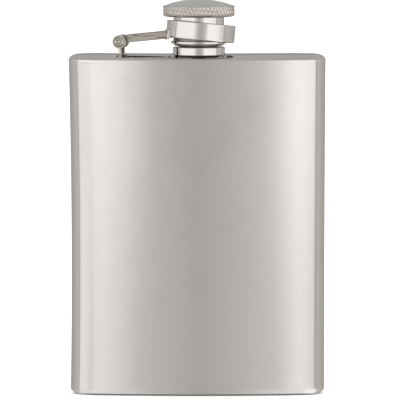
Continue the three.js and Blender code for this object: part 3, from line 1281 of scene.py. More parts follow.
class SideShape:
    """Flat outlines in the hinge's side view, and slabs made of them."""

    @staticmethod
    def arc(
        x: float, z: float, radius: float, start: float, stop: float, steps: int,
    ) -> list[tuple[float, float]]:
        """Points of an arc, both ends included.

        Args:
            x: the centre's place along the arm.
            z: the centre's height.
            radius: the arc's radius.
            start: first angle, in degrees.
            stop: last angle, in degrees.
            steps: flats in the arc.

        Returns:
            The points.
        """
        found = []
        for degrees in spread(start, stop, steps):
            angle = math.radians(degrees)
            found.append((x + radius * math.cos(angle), z + radius * math.sin(angle)))
        return found

    @staticmethod
    def slab(
        name: str, outline: Sequence[tuple[float, float]], depth: float, fillet: float,
    ) -> bpy.types.Object:
        """A slab with rounded edges, in the hinge's frame: thick along the pin.

        Args:
            name: the object's name.
            outline: the side view, anticlockwise seen from the front.
            depth: thickness.
            fillet: radius of the rounded edges.

        Returns:
            The slab.
        """
        count = len(outline)
        inward = []
        for index in range(count):
            before = Vector(outline[index - 1])
            after = Vector(outline[(index + 1) % count])
            along = (after - before).normalized()
            inward.append(Vector((-along.y, along.x)))
        layers = []
        near = -depth / 2.0
        steps = 4
        for step in range(steps + 1):
            angle = math.pi / 2.0 * step / steps
            inset = fillet * (1.0 - math.sin(angle))
            layers.append((inset, near + fillet * (1.0 - math.cos(angle))))
        layers.insert(1, (fillet * 0.97, near))
        layers[0] = (fillet * Outline.SUPPORT, near)
        layers.append((0.0, near + fillet * Outline.SUPPORT))
        layers += [(inset, -y) for inset, y in reversed(layers)]
        rings = []
        for inset, y in layers:
            ring = []
            for (x, z), turn in zip(outline, inward):
                ring.append((x + turn.x * inset, y, z + turn.y * inset))
            rings.append(ring)
        return MeshKit.skin(name, rings, loop=False)


class Operation(Enum):
    """What closed pieces do to each other."""

    JOIN = "UNION"
    CUT = "DIFFERENCE"


class Booleans:
    """Exact joins and cuts between closed pieces."""

    @staticmethod
    def apply(
        piece: bpy.types.Object, tools: Sequence[bpy.types.Object], operation: Operation,
    ) -> bpy.types.Object:
        """Joins or cuts a piece and keeps the result as a plain mesh.

        Args:
            piece: the piece, whose mesh is replaced.
            tools: the other solids, which are removed.
            operation: whether they are joined to it or cut from it.

        Returns:
            The same piece.
        """
        for tool in tools:
            modifier = piece.modifiers.new("cut", "BOOLEAN")
            modifier.operation = operation.value
            modifier.solver = "EXACT"
            modifier.object = tool
        evaluated = piece.evaluated_get(bpy.context.evaluated_depsgraph_get())
        result = bpy.data.meshes.new_from_object(evaluated)
        piece.modifiers.clear()
        piece.data = result
        MeshKit.smooth(result)
        for tool in tools:
            bpy.data.objects.remove(tool)
        return piece


@dataclass
class HingeAndArm:
    """The bracket, its pin, the arm and the ring that holds the cap, in millimetres.

    The side views are drawn with the pin's axis at zero, along the arm and up.

    Args:
        finishes: the finishes to dress it in.
        ear_radius: radius of the ears' round tops.
        ear_thickness: thickness of an ear.
        ear_foot: height of the ears' feet above the top plate.
        span: width over both ears, and of the arm.
        stem_left: place of the stem's left face.
        stem_right: place of the stem's right face.
        web_top: height of the dark web between the ears, which paints the shade there.
        pin_radius: radius of the pin.
        head_radius: radius of its heads.
        head_rise: height of a head's rounded edge.
        arm_height: height of the arm's bar.
        arm_rise: how far the bar's middle lies above the pin.
        arm_slope: angle at which the arm climbs to the ring, in degrees.
        arm_reach: length of the bar before the ring cuts it.
        tongue: width of the tongue between the ears.
        eye_radius: radius of the tongue's round end.
        shoulder: distance from the pin to where the bar widens.
        ring_tilt: the ring's tilt along the arm, in degrees.
        ring_lean: the ring's tilt across the arm, in degrees.
        ring_wall: thickness of the ring's wall.
        lip_bore: radius of the hole in the ring's lip.
        lip: thickness of the lip.
    """

    finishes: Finishes
    ear_radius: float = 2.5
    ear_thickness: float = 1.4
    ear_foot: float = 0.05
    span: float = 7.4
    stem_left: float = -0.3
    stem_right: float = 0.8
    web_top: float = -2.4
    pin_radius: float = 0.9
    head_radius: float = 2.15
    head_rise: float = 0.34
    arm_height: float = 2.9
    arm_rise: float = 0.85
    arm_slope: float = 6.0
    arm_reach: float = 22.0
    tongue: float = 4.3
    eye_radius: float = 2.2
    shoulder: float = 3.3
    ring_tilt: float = 5.3
    ring_lean: float = -2.5
    ring_wall: float = 0.7
    lip_bore: float = 10.4
    lip: float = 0.8

    # Side view of the bracket's foot: (place along the arm, height above the top plate).
    FOOT = ((-0.7, -0.3), (1.5, -0.3), (1.3, 0.3), (-0.6, 0.3))
    # Sections through the weld: (how far it reaches out, height above the top plate).
    WELD = ((1.45, -0.35), (1.45, -0.12), (1.2, 0.02), (0.85, 0.12), (0.3, 0.15))
    WELD_STEPS = 72
    # Rings that the punch left in the pin's heads: (radius, height above the ear).
    PUNCHED = ((0.35, 0.55), (0.75, 0.12), (1.25, 0.52), (1.7, 0.14))
    # Steps along each side of the braze, and round its bead.
    BRAZE_STEPS = 14
    BEAD_STEPS = 10

    def __post_init__(self) -> None:
        """Reads the pin's place and direction, and the ring's, from the frame."""
        joint = next(item for item in frame["joints"] if item["name"] == "arm_swing")
        pin = -Vector(joint["axis"]).normalized()
        along = Vector((pin.y, -pin.x, 0.0))
        axes = Matrix((along, pin, Vector((0.0, 0.0, 1.0)))).transposed().to_4x4()
        self.place = Matrix.Translation(Vector(joint["pos_m"])) @ axes
        self.rise = joint["pos_m"][2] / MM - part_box("top_plate")[1].z / MM
        low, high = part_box("swivel_ring")
        centre = (low + high) / 2.0
        tilt = math.radians(self.ring_tilt)
        lean = Matrix.Rotation(math.radians(self.ring_lean), 4, "X")
        self.ring_place = Matrix.Translation(centre) @ lean @ Matrix.Rotation(tilt, 4, "Y")
        self.ring_radius = (high.y - low.y) / 2.0 / MM
        overall = (high.z - low.z) / MM
        self.ring_height = (overall - 2.0 * self.ring_radius * math.sin(tilt)) / math.cos(tilt)

    def build(self) -> None:
        """Makes and dresses the five pieces and the brazed fillet."""
        self._bracket()
        self._pin()
        self._arm()
        self._ring()
        self._braze()

    def _ear(self, name: str, middle: float) -> bpy.types.Object:
        """One ear of the bracket.

        Args:
            name: the ear's name.
            middle: place of its middle along the pin.

        Returns:
            The ear.
        """
        right = math.degrees(math.asin(self.stem_right / self.ear_radius)) - 90.0
        left = math.degrees(math.asin(self.stem_left / self.ear_radius)) - 90.0
        foot = self.ear_foot - self.rise
        outline = [(self.stem_left, foot), (self.stem_right, foot)]
        outline += SideShape.arc(0.0, 0.0, self.ear_radius, right, left + 360.0, steps=40)
        ear = SideShape.slab(name, outline, self.ear_thickness, fillet=0.22)
        return MeshKit.move(ear, Matrix.Translation((0.0, middle * MM, 0.0)))

    def _bracket(self) -> None:
        """The foot and two ears, welded to the top plate, and a dark web between the ears that
        paints the shade there.
        """
        middle = (self.span - self.ear_thickness) / 2.0
        base = -self.rise
        foot_outline = [(x, base + height) for x, height in self.FOOT]
        foot = SideShape.slab("bracket_welded", foot_outline, self.span + 0.3, fillet=0.14)
        ears = [self._ear("ear_front", -middle), self._ear("ear_rear", middle)]
        bracket = Booleans.apply(foot, ears, Operation.JOIN)
        MeshKit.move(bracket, self.place)
        settle(bracket, self.finishes.buffed, Body.FLASK, Slot.POLISHED, "hinge_bracket")
        # A dark web between the ears paints the shade that falls there.
        recess = 0.12
        left, right = self.stem_left + recess, self.stem_right - recess
        web = [(left, base), (right, base), (right, self.web_top), (left, self.web_top)]
        shade_filler = SideShape.slab("bracket_shade_web", web, self.span - self.ear_thickness, fillet=0.05)
        MeshKit.move(shade_filler, self.place)
        settle(shade_filler, self.finishes.scale, Body.FLASK, Slot.POLISHED)
        self._weld()

    def _weld(self) -> None:
        """The dark, uneven weld round the bracket's foot."""
        middle = 0.35
        half = self.span / 2.0 - 0.55
        rings = []
        for reach, level in self.WELD:
            ring = []
            for step in range(self.WELD_STEPS):
                angle = FULL_TURN * step / self.WELD_STEPS
                way = Vector((math.cos(angle), math.sin(angle), 0.0))
                uneven = 1.0 + 0.22 * noise.noise(way * 2.3)
                x = middle + reach * uneven * math.copysign(abs(way.x) ** 0.6, way.x) * 1.25
                y = (half + reach * uneven) * math.copysign(abs(way.y) ** 0.6, way.y)
                ring.append((x, y, level - self.rise))
            rings.append(ring)
        weld = MeshKit.move(MeshKit.skin("bracket_weld", rings, loop=False), self.place)
        settle(weld, self.finishes.scale, Body.FLASK, Slot.SATIN)

    def _pin(self) -> None:
        """The pin, whose hammered heads show rings left by the punch."""
        half = self.span / 2.0
        outline = Outline([
            Corner(0.0, half + 0.52),
            Corner(0.0, -half - 0.52),
            *[Corner(radius, -half - rise, 0.1) for radius, rise in self.PUNCHED],
            Corner(self.head_radius, -half - self.head_rise, 0.15),
            Corner(self.head_radius, 0.02 - half, 0.05),
            Corner(self.pin_radius, 0.02 - half),
            Corner(self.pin_radius, half - 0.02),
            Corner(self.head_radius, half - 0.02, 0.05),
            Corner(self.head_radius, half + self.head_rise, 0.15),
            *[Corner(radius, half + rise, 0.1) for radius, rise in reversed(self.PUNCHED)],
        ])
        pin = MeshKit.turned("pin_peened", outline.points(), steps=56)
        # Painted shade in the punched rings of the heads.
        shaded_hollows = []
        for face in pin.data.polygons:
            depth = abs(face.center.z) / MM - half
            shaded_hollows.append(depth < 0.27 and face.center.xy.length < 1.9 * MM)
        MeshKit.move(pin, self.place @ Matrix.Rotation(-math.pi / 2.0, 4, "X"))
        settle(pin, self.finishes.buffed, Body.FLASK, Slot.SATIN, "hinge_pin")
        dress(pin, [self.finishes.shadowed], lambda face: int(shaded_hollows[face.index]))

    def _side(self, start: float, stop: float, round_end: bool) -> list[tuple[float, float]]:
        """Side view of the bar, or of the tongue with its round end about the pin.

        Args:
            start: where it starts, along the arm.
            stop: where it stops.
            round_end: whether it is the tongue.

        Returns:
            The outline's points.
        """
        slope = math.radians(self.arm_slope)
        top = self.arm_rise + self.arm_height / 2.0
        bottom = self.arm_rise - self.arm_height / 2.0
        flat = [(stop, bottom), (stop, top)]
        if round_end:
            dip = math.degrees(math.asin(-bottom / self.eye_radius))
            flat += SideShape.arc(0.0, 0.0, self.eye_radius, 90.0, 360.0 - dip, steps=36)
        else:
            flat += [(start - 0.15, top), (start, (top + bottom) / 2.0), (start + 0.25, bottom)]
        cosine, sine = math.cos(slope), math.sin(slope)
        return [(x * cosine - z * sine, x * sine + z * cosine) for x, z in flat]

    @staticmethod
    def _rod(name: str, radius: float, half: float, steps: int) -> bpy.types.Object:
        """A plain rod, which cuts a hole.

        Args:
            name: the object's name.
            radius: the hole's radius.
            half: half the rod's length.
            steps: number of flats round the rod.

        Returns:
            The rod.
        """
        outline = Outline([
            Corner(0.01, -half), Corner(radius, -half), Corner(radius, half), Corner(0.01, half),
        ])
        return MeshKit.turned(name, outline.points(), steps=steps)

    def _arm(self) -> None:
        """The bar from the pin to the ring."""
        bar_side = self._side(self.shoulder, self.arm_reach, round_end=False)
        bar = SideShape.slab("arm_bar", bar_side, self.span, fillet=0.3)
        tongue_side = self._side(0.0, self.shoulder + 4.0, round_end=True)
        tongue = SideShape.slab("arm_tongue", tongue_side, self.tongue, fillet=0.12)
        arm = Booleans.apply(bar, [tongue], Operation.JOIN)
        MeshKit.move(arm, self.place)
        cutter = self._rod("ring_hollow", self.ring_radius - 0.3, half=20.0, steps=192)
        MeshKit.move(cutter, self.ring_place)
        drill = self._rod("pin_drill", self.pin_radius + 0.06, half=5.0, steps=56)
        MeshKit.move(drill, self.place @ Matrix.Rotation(-math.pi / 2.0, 4, "X"))
        Booleans.apply(arm, [cutter, drill], Operation.CUT)
        arm.name = "arm_buffed"
        settle(arm, self.finishes.drawn, Body.ARM, Slot.POLISHED, "cap_arm")
        to_hinge = self.place.inverted()

        def choose(face: bpy.types.MeshPolygon) -> int:
            """Gives the underside the dark weld scale, and the part between the ears the dark
            steel, both as painted shade.

            Args:
                face: a face of the arm.

            Returns:
                The number of its finish.
            """
            if face.normal.z < -0.7:
                return 2
            return int((to_hinge @ face.center).x < self.shoulder * MM)

        # Painted shade on the arm's underside and between the ears.
        dress(arm, [self.finishes.shadowed, self.finishes.scale], choose)

    def _ring(self) -> None:
        """The band round the cap, with a lip inside its top that the clip can't pass."""
        half = self.ring_height / 2.0
        inner = self.ring_radius - self.ring_wall
        outline = Outline([
            Corner(inner, -half, 0.12),
            Corner(self.ring_radius - 0.48, -half, 0.15),
            Corner(self.ring_radius - 0.12, 0.15 - half, 0.15),
            Corner(self.ring_radius, 0.55 - half, 0.2),
            Corner(self.ring_radius, half, 0.4),
            Corner(self.lip_bore, half, 0.15),
            Corner(self.lip_bore, half - self.lip, 0.1),
            Corner(inner, half - self.lip, 0.1),
        ])
        ring = MeshKit.turned("ring_polished", outline.points(), steps=192)
        MeshKit.move(ring, self.ring_place)
        settle(ring, self.finishes.bright, Body.ARM, Slot.POLISHED, "swivel_ring")
        # Painted shade on the ring's downward faces.
        dress(ring, [self.finishes.shadowed], lambda face: int(face.normal.z < -0.8))

    def _braze(self) -> None:
        """The uneven fillet of braze where the arm meets the ring."""
        slope = Matrix.Rotation(math.radians(-self.arm_slope), 4, "Y")
        to_ring = self.ring_place.inverted() @ self.place @ slope
        along = to_ring.to_3x3() @ Vector((1.0, 0.0, 0.0))
        inset = 0.05
        half_y = self.span / 2.0 - inset
        half_z = self.arm_height / 2.0 - inset
        corners = ((-half_y, -half_z), (half_y, -half_z), (half_y, half_z), (-half_y, half_z))
        path: list[Vector] = []
        for index, (y, z) in enumerate(corners):
            next_y, next_z = corners[(index + 1) % len(corners)]
            for step in range(self.BRAZE_STEPS):
                t = step / self.BRAZE_STEPS
                height = self.arm_rise + z + (next_z - z) * t
                spot = Vector((0.0, y + (next_y - y) * t, height)) * MM
                path.append(self._onto_ring(to_ring @ spot, along))
        rings = []
        for index, spot in enumerate(path):
            ahead = (path[(index + 1) % len(path)] - path[index - 1]).normalized()
            out = Vector((spot.x, spot.y, 0.0)).normalized()
            across = ahead.cross(out).normalized()
            size = (0.42 + 0.14 * noise.noise(spot * 900.0)) * MM
            ring = []
            for turn in range(self.BEAD_STEPS):
                angle = FULL_TURN * turn / self.BEAD_STEPS
                bulge = out * size * math.cos(angle)
                ring.append(tuple((spot + bulge + across * size * math.sin(angle)) / MM))
            rings.append(ring)
        bead = MeshKit.skin("braze_fillet", rings, loop=True)
        MeshKit.move(bead, self.ring_place)
        settle(bead, self.finishes.bright, Body.ARM, Slot.POLISHED)

    def _onto_ring(self, spot: Vector, along: Vector) -> Vector:
        """Slides a point along the arm until it meets the ring's outer face.

        Args:
            spot: the point, in the ring's own frame and in metres.
            along: the arm's direction in that frame.

        Returns:
            The point on the ring.
        """
        radius = self.ring_radius * MM
        a = along.x**2 + along.y**2
        b = spot.x * along.x + spot.y * along.y
        c = spot.x**2 + spot.y**2 - radius**2
        return spot + along * ((-b - math.sqrt(max(b * b - a * c, 0.0))) / a)


# ---------------------------------------------------------------------------------------------
# Cap
# ---------------------------------------------------------------------------------------------


@dataclass
class Cap:
    """The knurled head, the threaded bush, and what is inside them, in millimetres.

    Args:
        finishes: the finishes to dress it in.
        threads: the tree that winds the thread.
        knurl: the tree that raises the knurling.
        wall: thickness of the head's wall.
        mouth: radius of the hole in the head's underside.
        dome_rise: height of the dome.
        edge: how far the dome starts inside the knurled rim.
        teeth: number of knurls round the rim.
        tooth_rows: distance in which a knurl repeats up the rim.
        tooth_depth: depth of the knurling.
        bore: radius of the bush's bore.
        skirt: radius of the bush's skirt.
        groove: radius at the floor of the clip's groove.
        flange: radius of the bush's flange.
        plug: radius of the liner's plug.
    """

    finishes: Finishes
    threads: bpy.types.NodeTree
    knurl: bpy.types.NodeTree
    wall: float = 0.8
    mouth: float = 9.35
    dome_rise: float = 2.35
    edge: float = 0.5
    teeth: int = 54
    tooth_rows: float = 2.92
    tooth_depth: float = 0.36
    bore: float = 7.95
    skirt: float = 9.2
    groove: float = 8.7
    flange: float = 10.2
    plug: float = 7.6

    # Number of steps round the clip, and round its section.
    CLIP_STEPS = 120
    WIRE_STEPS = 16

    def __post_init__(self) -> None:
        """Reads the head's size from the frame."""
        low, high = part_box("cap_head")
        self.radius = high.x / MM + 0.12
        self.bottom = low.z / MM
        self.apex = high.z / MM + 0.25

    def build(self) -> None:
        """Makes and dresses every piece of the cap."""
        self._head()
        self._bush()
        self._clip()
        self._liner()
        self._gasket()

    @staticmethod
    def _dome(rim: float, apex: float, rise: float, steps: int = 16) -> list[Corner]:
        """Points of a dome.

        Args:
            rim: radius of its rim.
            apex: height of its middle.
            rise: how far the middle stands above the rim.
            steps: number of gaps between the points.

        Returns:
            The points from the rim to the axis.
        """
        curve = (rim**2 + rise**2) / (2.0 * rise)
        reach = math.asin(rim / curve)
        found = []
        for step in range(steps + 1):
            angle = reach * (1.0 - step / steps)
            found.append(Corner(curve * math.sin(angle), apex - curve * (1.0 - math.cos(angle))))
        return found

    def _head(self) -> None:
        """The shell of the head: a satin dome over a knurled rim, rolled in at the bottom."""
        rim = self.radius - self.edge
        inner = self.radius - self.tooth_depth - self.wall
        dome = self._dome(rim, self.apex, self.dome_rise)
        under = self._dome(inner - 0.4, self.apex - self.wall, self.dome_rise)
        shoulder = dome[0].height
        heights = spread(self.bottom + 0.65, shoulder - 0.2, 34)
        outline = Outline([
            Corner(self.mouth, self.bottom, 0.12),
            Corner(rim - 0.45, self.bottom, 0.1),
            Corner(rim + 0.1, self.bottom + 0.2, 0.15),
            *[Corner(self.radius, height) for height in heights],
            Corner(self.radius - 0.15, shoulder - 0.04),
            *dome[:-1],
            Corner(0.0, self.apex),
            Corner(0.0, self.apex - self.wall),
            *under[-2::-1],
            Corner(inner, shoulder - self.wall - 0.3, 0.3),
            Corner(inner, self.bottom + self.wall, 0.2),
            Corner(self.mouth, self.bottom + self.wall, 0.12),
        ])
        head = MeshKit.turned("head_knurled", outline.points(), steps=self.teeth * 8)
        relief = Relief(
            self.bottom + 0.3, shoulder + 0.1, 0.8, rim + 0.05,
            self.tooth_depth, self.tooth_rows, self.teeth,
        )
        relief.apply(head, self.knurl, self.finishes.satin)
        settle(head, self.finishes.satin, Body.CAP, Slot.SATIN, "cap_head")

        def choose(face: bpy.types.MeshPolygon) -> int:
            """The rim below the dome is knurled."""
            centre = face.center / MM
            return int(centre.z < shoulder + 0.05 and centre.xy.length > rim - 1.2)

        dress(head, [self.finishes.knurled], choose)

    def _bush(self) -> None:
        """The turned bush: flange, groove for the clip, skirt, rim and female thread."""
        low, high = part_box("cap_bush")
        bottom, top, rim = low.z / MM, high.z / MM, high.x / MM
        foot = bottom - 0.45
        shelf = bottom + 1.2
        groove_low, groove_high = bottom + 2.6, bottom + 3.5
        thread_low, thread_high = bottom + 0.25, bottom + 2.35
        outline = Outline([
            Corner(self.bore, foot, 0.1),
            Corner(8.9, foot, 0.2),
            Corner(9.1, bottom + 0.05, 0.05),
            Corner(self.flange, bottom + 0.3, 0.3),
            Corner(self.flange, shelf, 0.15),
            Corner(self.skirt, shelf, 0.08),
            Corner(self.skirt, groove_low, 0.05),
            Corner(self.groove, groove_low, 0.05),
            Corner(self.groove, groove_high, 0.05),
            Corner(self.skirt, groove_high, 0.05),
            Corner(self.skirt, top - 0.8, 0.05),
            Corner(rim, top - 0.8, 0.1),
            Corner(rim, top, 0.1),
            Corner(self.bore, top, 0.1),
            *[Corner(self.bore, height) for height in spread(thread_high, thread_low, 40)],
        ])
        bush = MeshKit.turned("bush_turned", outline.points(), steps=160)
        inside = Relief(thread_low, thread_high, 0.5, 0.0, -0.45, 1.2, 1)
        self._cut_female_thread(bush, inside)
        settle(bush, self.finishes.bright, Body.CAP, Slot.POLISHED, "cap_bush")

        def choose(face: bpy.types.MeshPolygon) -> int:
            """The skirt and the bore below the head get painted shade."""
            centre = face.center / MM
            return int(centre.z < groove_high + 0.1 and centre.xy.length < self.skirt + 0.1)

        # Painted shade on the skirt and bore, under the ring.
        dress(bush, [self.finishes.shadowed], choose)

    def _cut_female_thread(self, bush: bpy.types.Object, relief: Relief) -> None:
        """Winds the female thread into the bore, and leaves the outer faces as they are.

        Args:
            bush: the bush.
            relief: the thread's place and size.
        """
        outer = bush.data.copy()
        relief.apply(bush, self.threads, self.finishes.bright)
        limit = (self.bore + 0.05) * MM
        for vertex, before in zip(bush.data.vertices, outer.vertices):
            if math.hypot(before.co.x, before.co.y) > limit:
                vertex.co = before.co
        bpy.data.meshes.remove(outer)

    def _clip(self) -> None:
        """The sprung C-shaped ring in the bush's groove."""
        low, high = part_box("retaining_clip")
        outer = high.x / MM
        inner = 8.8
        middle = (inner + outer) / 2.0
        half_width = (outer - inner) / 2.0
        half_height = (high.z - low.z) / 2.0 / MM
        level = (high.z + low.z) / 2.0 / MM
        half_gap = 1.5
        opening = math.asin(half_gap / middle)
        rings = []
        for step in range(self.CLIP_STEPS + 1):
            turned = (FULL_TURN - 2.0 * opening) * step / self.CLIP_STEPS
            angle = math.pi / 2.0 + opening + turned
            ring = []
            for turn in range(self.WIRE_STEPS):
                lean = FULL_TURN * turn / self.WIRE_STEPS
                bulge = math.copysign(abs(math.cos(lean)) ** 0.5, math.cos(lean))
                rise = math.copysign(abs(math.sin(lean)) ** 0.5, math.sin(lean))
                reach = middle + half_width * bulge
                x, y = reach * math.cos(angle), reach * math.sin(angle)
                ring.append((x, y, level + half_height * rise))
            rings.append(ring)
        clip = MeshKit.skin("clip_sprung", rings, loop=False)
        settle(clip, self.finishes.buffed, Body.CAP, Slot.SATIN, "retaining_clip")

    def _liner(self) -> None:
        """The moulded plug that fills the bush, with a sealing ridge on its face."""
        low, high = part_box("cap_liner")
        bottom, top, rim = low.z / MM, high.z / MM, high.x / MM
        outline = Outline([
            Corner(0.0, bottom + 0.5),
            Corner(5.2, bottom + 0.5, 0.2),
            Corner(5.6, bottom, 0.2),
            Corner(self.plug, bottom, 0.3),
            Corner(self.plug, top - 0.8, 0.2),
            Corner(rim, top - 0.8, 0.15),
            Corner(rim, top, 0.2),
            Corner(0.0, top),
        ])
        liner = MeshKit.turned("liner_moulded", outline.points(), steps=96)
        settle(liner, self.finishes.plastic, Body.CAP, Slot.PLASTIC, "cap_liner")

    def _gasket(self) -> None:
        """The silicone disc that seals on the spout's rim."""
        low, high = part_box("seal_gasket")
        bottom, top, radius = low.z / MM, high.z / MM, high.x / MM
        outline = Outline([
            Corner(0.0, bottom + 0.15),
            Corner(4.9, bottom + 0.15, 0.1),
            Corner(5.1, bottom, 0.1),
            Corner(radius, bottom, 0.35),
            Corner(radius, top, 0.35),
            Corner(0.0, top),
        ])
        gasket = MeshKit.turned("gasket_silicone", outline.points(), steps=96)
        settle(gasket, self.finishes.silicone, Body.SEAL, Slot.SILICONE, "seal_gasket")


# ---------------------------------------------------------------------------------------------
# Studio
# ---------------------------------------------------------------------------------------------


@dataclass(frozen=True)
class Panel:
    """The tent's brightness in one direction.

    Args:
        bearing: degrees to the right of the camera, seen from the flask.
        upper: brightness just under the flask's eye level.
        lower: brightness nearer the table.
    """

    bearing: float
    upper: float
    lower: float


@dataclass
class Studio:
    """A white tent round the flask, a pale floor and the camera.

    Args:
        distance: from the camera to the neck's axis, in metres.
        looking_down: the camera's angle above the top plate, in degrees.
        frame_width: width of the view at the flask, in metres.
        centre: the point at the middle of the view, in metres.
    """

    distance: float = 3.4
    looking_down: float = 2.5
    frame_width: float = 0.1444
    centre: tuple[float, float] = (0.0004, 0.0703)

    # Width of the camera's sensor, in millimetres.
    SENSOR = 36.0
    # How warm the darkest part of the tent is; the white parts are neutral.
    WARMTH = 0.1
    # Colours overhead and straight down.
    ROOF = (0.41, 0.402, 0.39, 1.0)
    UNDER = (0.16, 0.155, 0.145, 1.0)
    # Strength of the white that the eye and the matt pieces see.
    WHITE = 1.6
    TENT = (
        Panel(-180.0, 0.31, 0.31), Panel(-131.0, 0.41, 0.41), Panel(-105.0, 0.53, 0.50),
        Panel(-96.0, 0.56, 0.52), Panel(-92.0, 0.40, 0.40), Panel(-88.0, 0.86, 0.74),
        Panel(-76.0, 0.96, 0.82), Panel(-50.0, 0.98, 0.76), Panel(-36.0, 0.98, 0.68),
        Panel(-25.0, 0.97, 0.81), Panel(-20.0, 0.86, 0.70), Panel(-15.0, 0.69, 0.56),
        Panel(-11.0, 0.54, 0.52), Panel(-6.0, 0.48, 0.48), Panel(0.0, 0.43, 0.43),
        Panel(6.0, 0.47, 0.47), Panel(13.0, 0.54, 0.53), Panel(17.0, 0.62, 0.57),
        Panel(20.0, 0.74, 0.61), Panel(23.0, 0.91, 0.72), Panel(26.0, 1.0, 0.85),
        Panel(50.0, 0.98, 0.81), Panel(70.0, 0.95, 0.76), Panel(81.0, 0.90, 0.68),
        Panel(86.0, 0.42, 0.38), Panel(90.0, 0.46, 0.44), Panel(95.0, 0.54, 0.50),
        Panel(122.0, 0.44, 0.44), Panel(180.0, 0.31, 0.31),
    )
    # Brightness of the table in each direction: (bearing, level).
    TABLE = (
        (-180.0, 0.45), (-100.0, 0.52), (-85.0, 0.80), (-25.0, 0.80), (-11.0, 0.52), (0.0, 0.42),
        (11.0, 0.52), (25.0, 0.80), (50.0, 1.0), (88.0, 1.0), (100.0, 0.52), (180.0, 0.45),
    )
    LIGHT_SIZE = 1.6
    LIGHT_ENERGY = 9.0

    def build(self) -> None:
        """Sets the camera, the tent, two soft lights and the floor."""
        self._camera()
        self._tent()
        self._lights()
        self._floor()
        bpy.context.scene.view_settings.view_transform = "Standard"

    def _camera(self) -> None:
        """A long lens, a little above the top plate."""
        data = bpy.data.cameras.new("camera")
        data.sensor_width = self.SENSOR
        data.lens = self.SENSOR * self.distance / self.frame_width
        data.clip_end = 20.0
        camera = bpy.data.objects.new("camera", data)
        bpy.context.scene.collection.objects.link(camera)
        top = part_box("top_plate")[1].z
        x, z = self.centre
        height = top + self.distance * math.tan(math.radians(self.looking_down))
        camera.location = (x, -self.distance, height)
        aim = Vector((x, 0.0, z)) - camera.location
        camera.rotation_euler = aim.to_track_quat("-Z", "Y").to_euler()
        bpy.context.scene.camera = camera

    def _tent(self) -> None:
        """The world: white to the eye, and to the metal a tent with a dark slit at the camera."""
        world = bpy.data.worlds.new("light_tent")
        bpy.context.scene.world = world
        world.use_nodes = True
        kit = NodeTools(world.node_tree)
        world.node_tree.nodes.clear()
        way = kit.add("ShaderNodeTexCoord").outputs["Generated"]
        split = kit.add("ShaderNodeSeparateXYZ")
        kit.link(way, split.inputs[0])
        x, y, z = split.outputs
        angle = kit.math("ARCTAN2", x, kit.math("MULTIPLY", y, -1.0))
        bearing = kit.math("ADD", kit.math("DIVIDE", angle, FULL_TURN), 0.5)
        upper = self._ramp(kit, bearing, [(panel.bearing, panel.upper) for panel in self.TENT])
        lower = self._ramp(kit, bearing, [(panel.bearing, panel.lower) for panel in self.TENT])
        table = self._ramp(kit, bearing, self.TABLE)
        rise = self._blend(kit, z, -0.076, -0.047, lower, upper)
        roof = self._blend(kit, z, 0.12, 0.45, rise, self.ROOF)
        near = self._blend(kit, z, -0.085, -0.12, roof, table)
        low = self._blend(kit, z, -0.70, -0.88, near, self.UNDER)
        tent = kit.add("ShaderNodeBackground")
        kit.link(low, tent.inputs["Color"])
        white = kit.add("ShaderNodeBackground")
        white.inputs["Color"].default_value = (1.0, 1.0, 1.0, 1.0)
        white.inputs["Strength"].default_value = self.WHITE
        path = kit.add("ShaderNodeLightPath")
        choose = kit.add("ShaderNodeMixShader")
        kit.link(path.outputs["Is Glossy Ray"], choose.inputs[0])
        kit.link(white.outputs[0], choose.inputs[1])
        kit.link(tent.outputs[0], choose.inputs[2])
        end = kit.add("ShaderNodeOutputWorld")
        kit.link(choose.outputs[0], end.inputs[0])

    def _ramp(
        self, kit: NodeTools, place: bpy.types.NodeSocket, stops: Sequence[tuple[float, float]],
    ) -> bpy.types.NodeSocket:
        """A slightly warm grey that changes with the bearing.

        Args:
            kit: the world's nodes.
            place: the bearing, from 0 to 1 round the flask.
            stops: (bearing in degrees, level) pairs in order.

        Returns:
            The colour.
        """
        ramp = kit.add("ShaderNodeValToRGB")
        kit.link(place, ramp.inputs[0])
        elements = ramp.color_ramp.elements
        while len(elements) < len(stops):
            elements.new(0.5)
        for element, (angle, level) in zip(elements, stops):
            element.position = 0.5 + angle / 360.0
            warmth = self.WARMTH * (1.0 - level)
            element.color = (level, level * (1.0 - 0.4 * warmth), level * (1.0 - warmth), 1.0)
        return ramp.outputs[0]

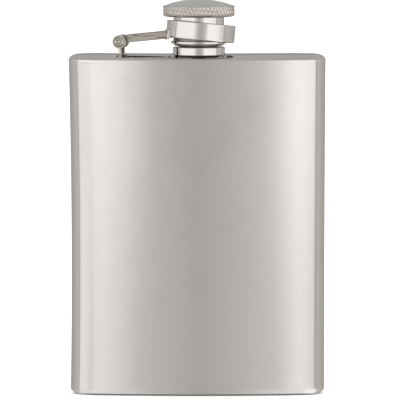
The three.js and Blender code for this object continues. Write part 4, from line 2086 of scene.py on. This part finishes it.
    @staticmethod
    def _blend(
        kit: NodeTools,
        value: bpy.types.NodeSocket,
        start: float,
        stop: float,
        first: object,
        second: object,
    ) -> bpy.types.NodeSocket:
        """Goes from one colour to another as a value passes from start to stop.

        Args:
            kit: the world's nodes.
            value: the value.
            start: where the first colour ends.
            stop: where the second colour begins.
            first: the first colour, or the socket that gives it.
            second: the second colour, or its socket.

        Returns:
            The colour.
        """
        share = kit.add("ShaderNodeMapRange", interpolation_type="SMOOTHSTEP")
        share.inputs["From Min"].default_value = start
        share.inputs["From Max"].default_value = stop
        kit.link(value, share.inputs["Value"])
        mix = kit.add("ShaderNodeMix", data_type="RGBA")
        kit.link(share.outputs[0], mix.inputs["Factor"])
        kit.feed(mix.inputs["A"], first)
        kit.feed(mix.inputs["B"], second)
        return mix.outputs["Result"]

    def _lights(self) -> None:
        """Two large soft lights, which the metal doesn't mirror."""
        for name, x in (("soft_left", -1.2), ("soft_right", 1.2)):
            data = bpy.data.lights.new(name, "AREA")
            data.size = self.LIGHT_SIZE
            data.energy = self.LIGHT_ENERGY
            light = bpy.data.objects.new(name, data)
            light.location = (x, -1.2, 1.6)
            aim = Vector((0.0, 0.0, 0.07)) - light.location
            light.rotation_euler = aim.to_track_quat("-Z", "Y").to_euler()
            light.visible_glossy = False
            bpy.context.scene.collection.objects.link(light)

    def _floor(self) -> None:
        """A pale floor, which reaches past every view."""
        mesh = bmesh.new()
        bmesh.ops.create_grid(mesh, x_segments=1, y_segments=1, size=6.0)
        data = bpy.data.meshes.new("floor")
        mesh.to_mesh(data)
        mesh.free()
        floor = bpy.data.objects.new("floor", data)
        bpy.context.scene.collection.objects.link(floor)
        paint = bpy.data.materials.new("pale_floor")
        paint.use_nodes = True
        shader = paint.node_tree.nodes["Principled BSDF"]
        shader.inputs["Base Color"].default_value = (0.9, 0.9, 0.9, 1.0)
        shader.inputs["Roughness"].default_value = 1.0
        data.materials.append(paint)
        floor.visible_glossy = False


def main() -> None:
    """Builds the studio and then the flask, one sub-assembly at a time."""
    Studio().build()
    finishes = Finishes()
    threads = thread_tree()
    shell = BodyShell(finishes)
    shell.build()
    Neck(finishes, threads, shell.fall).build()
    HingeAndArm(finishes).build()
    Cap(finishes, threads, knurl_tree()).build()


if __name__ == "__main__":
    main()
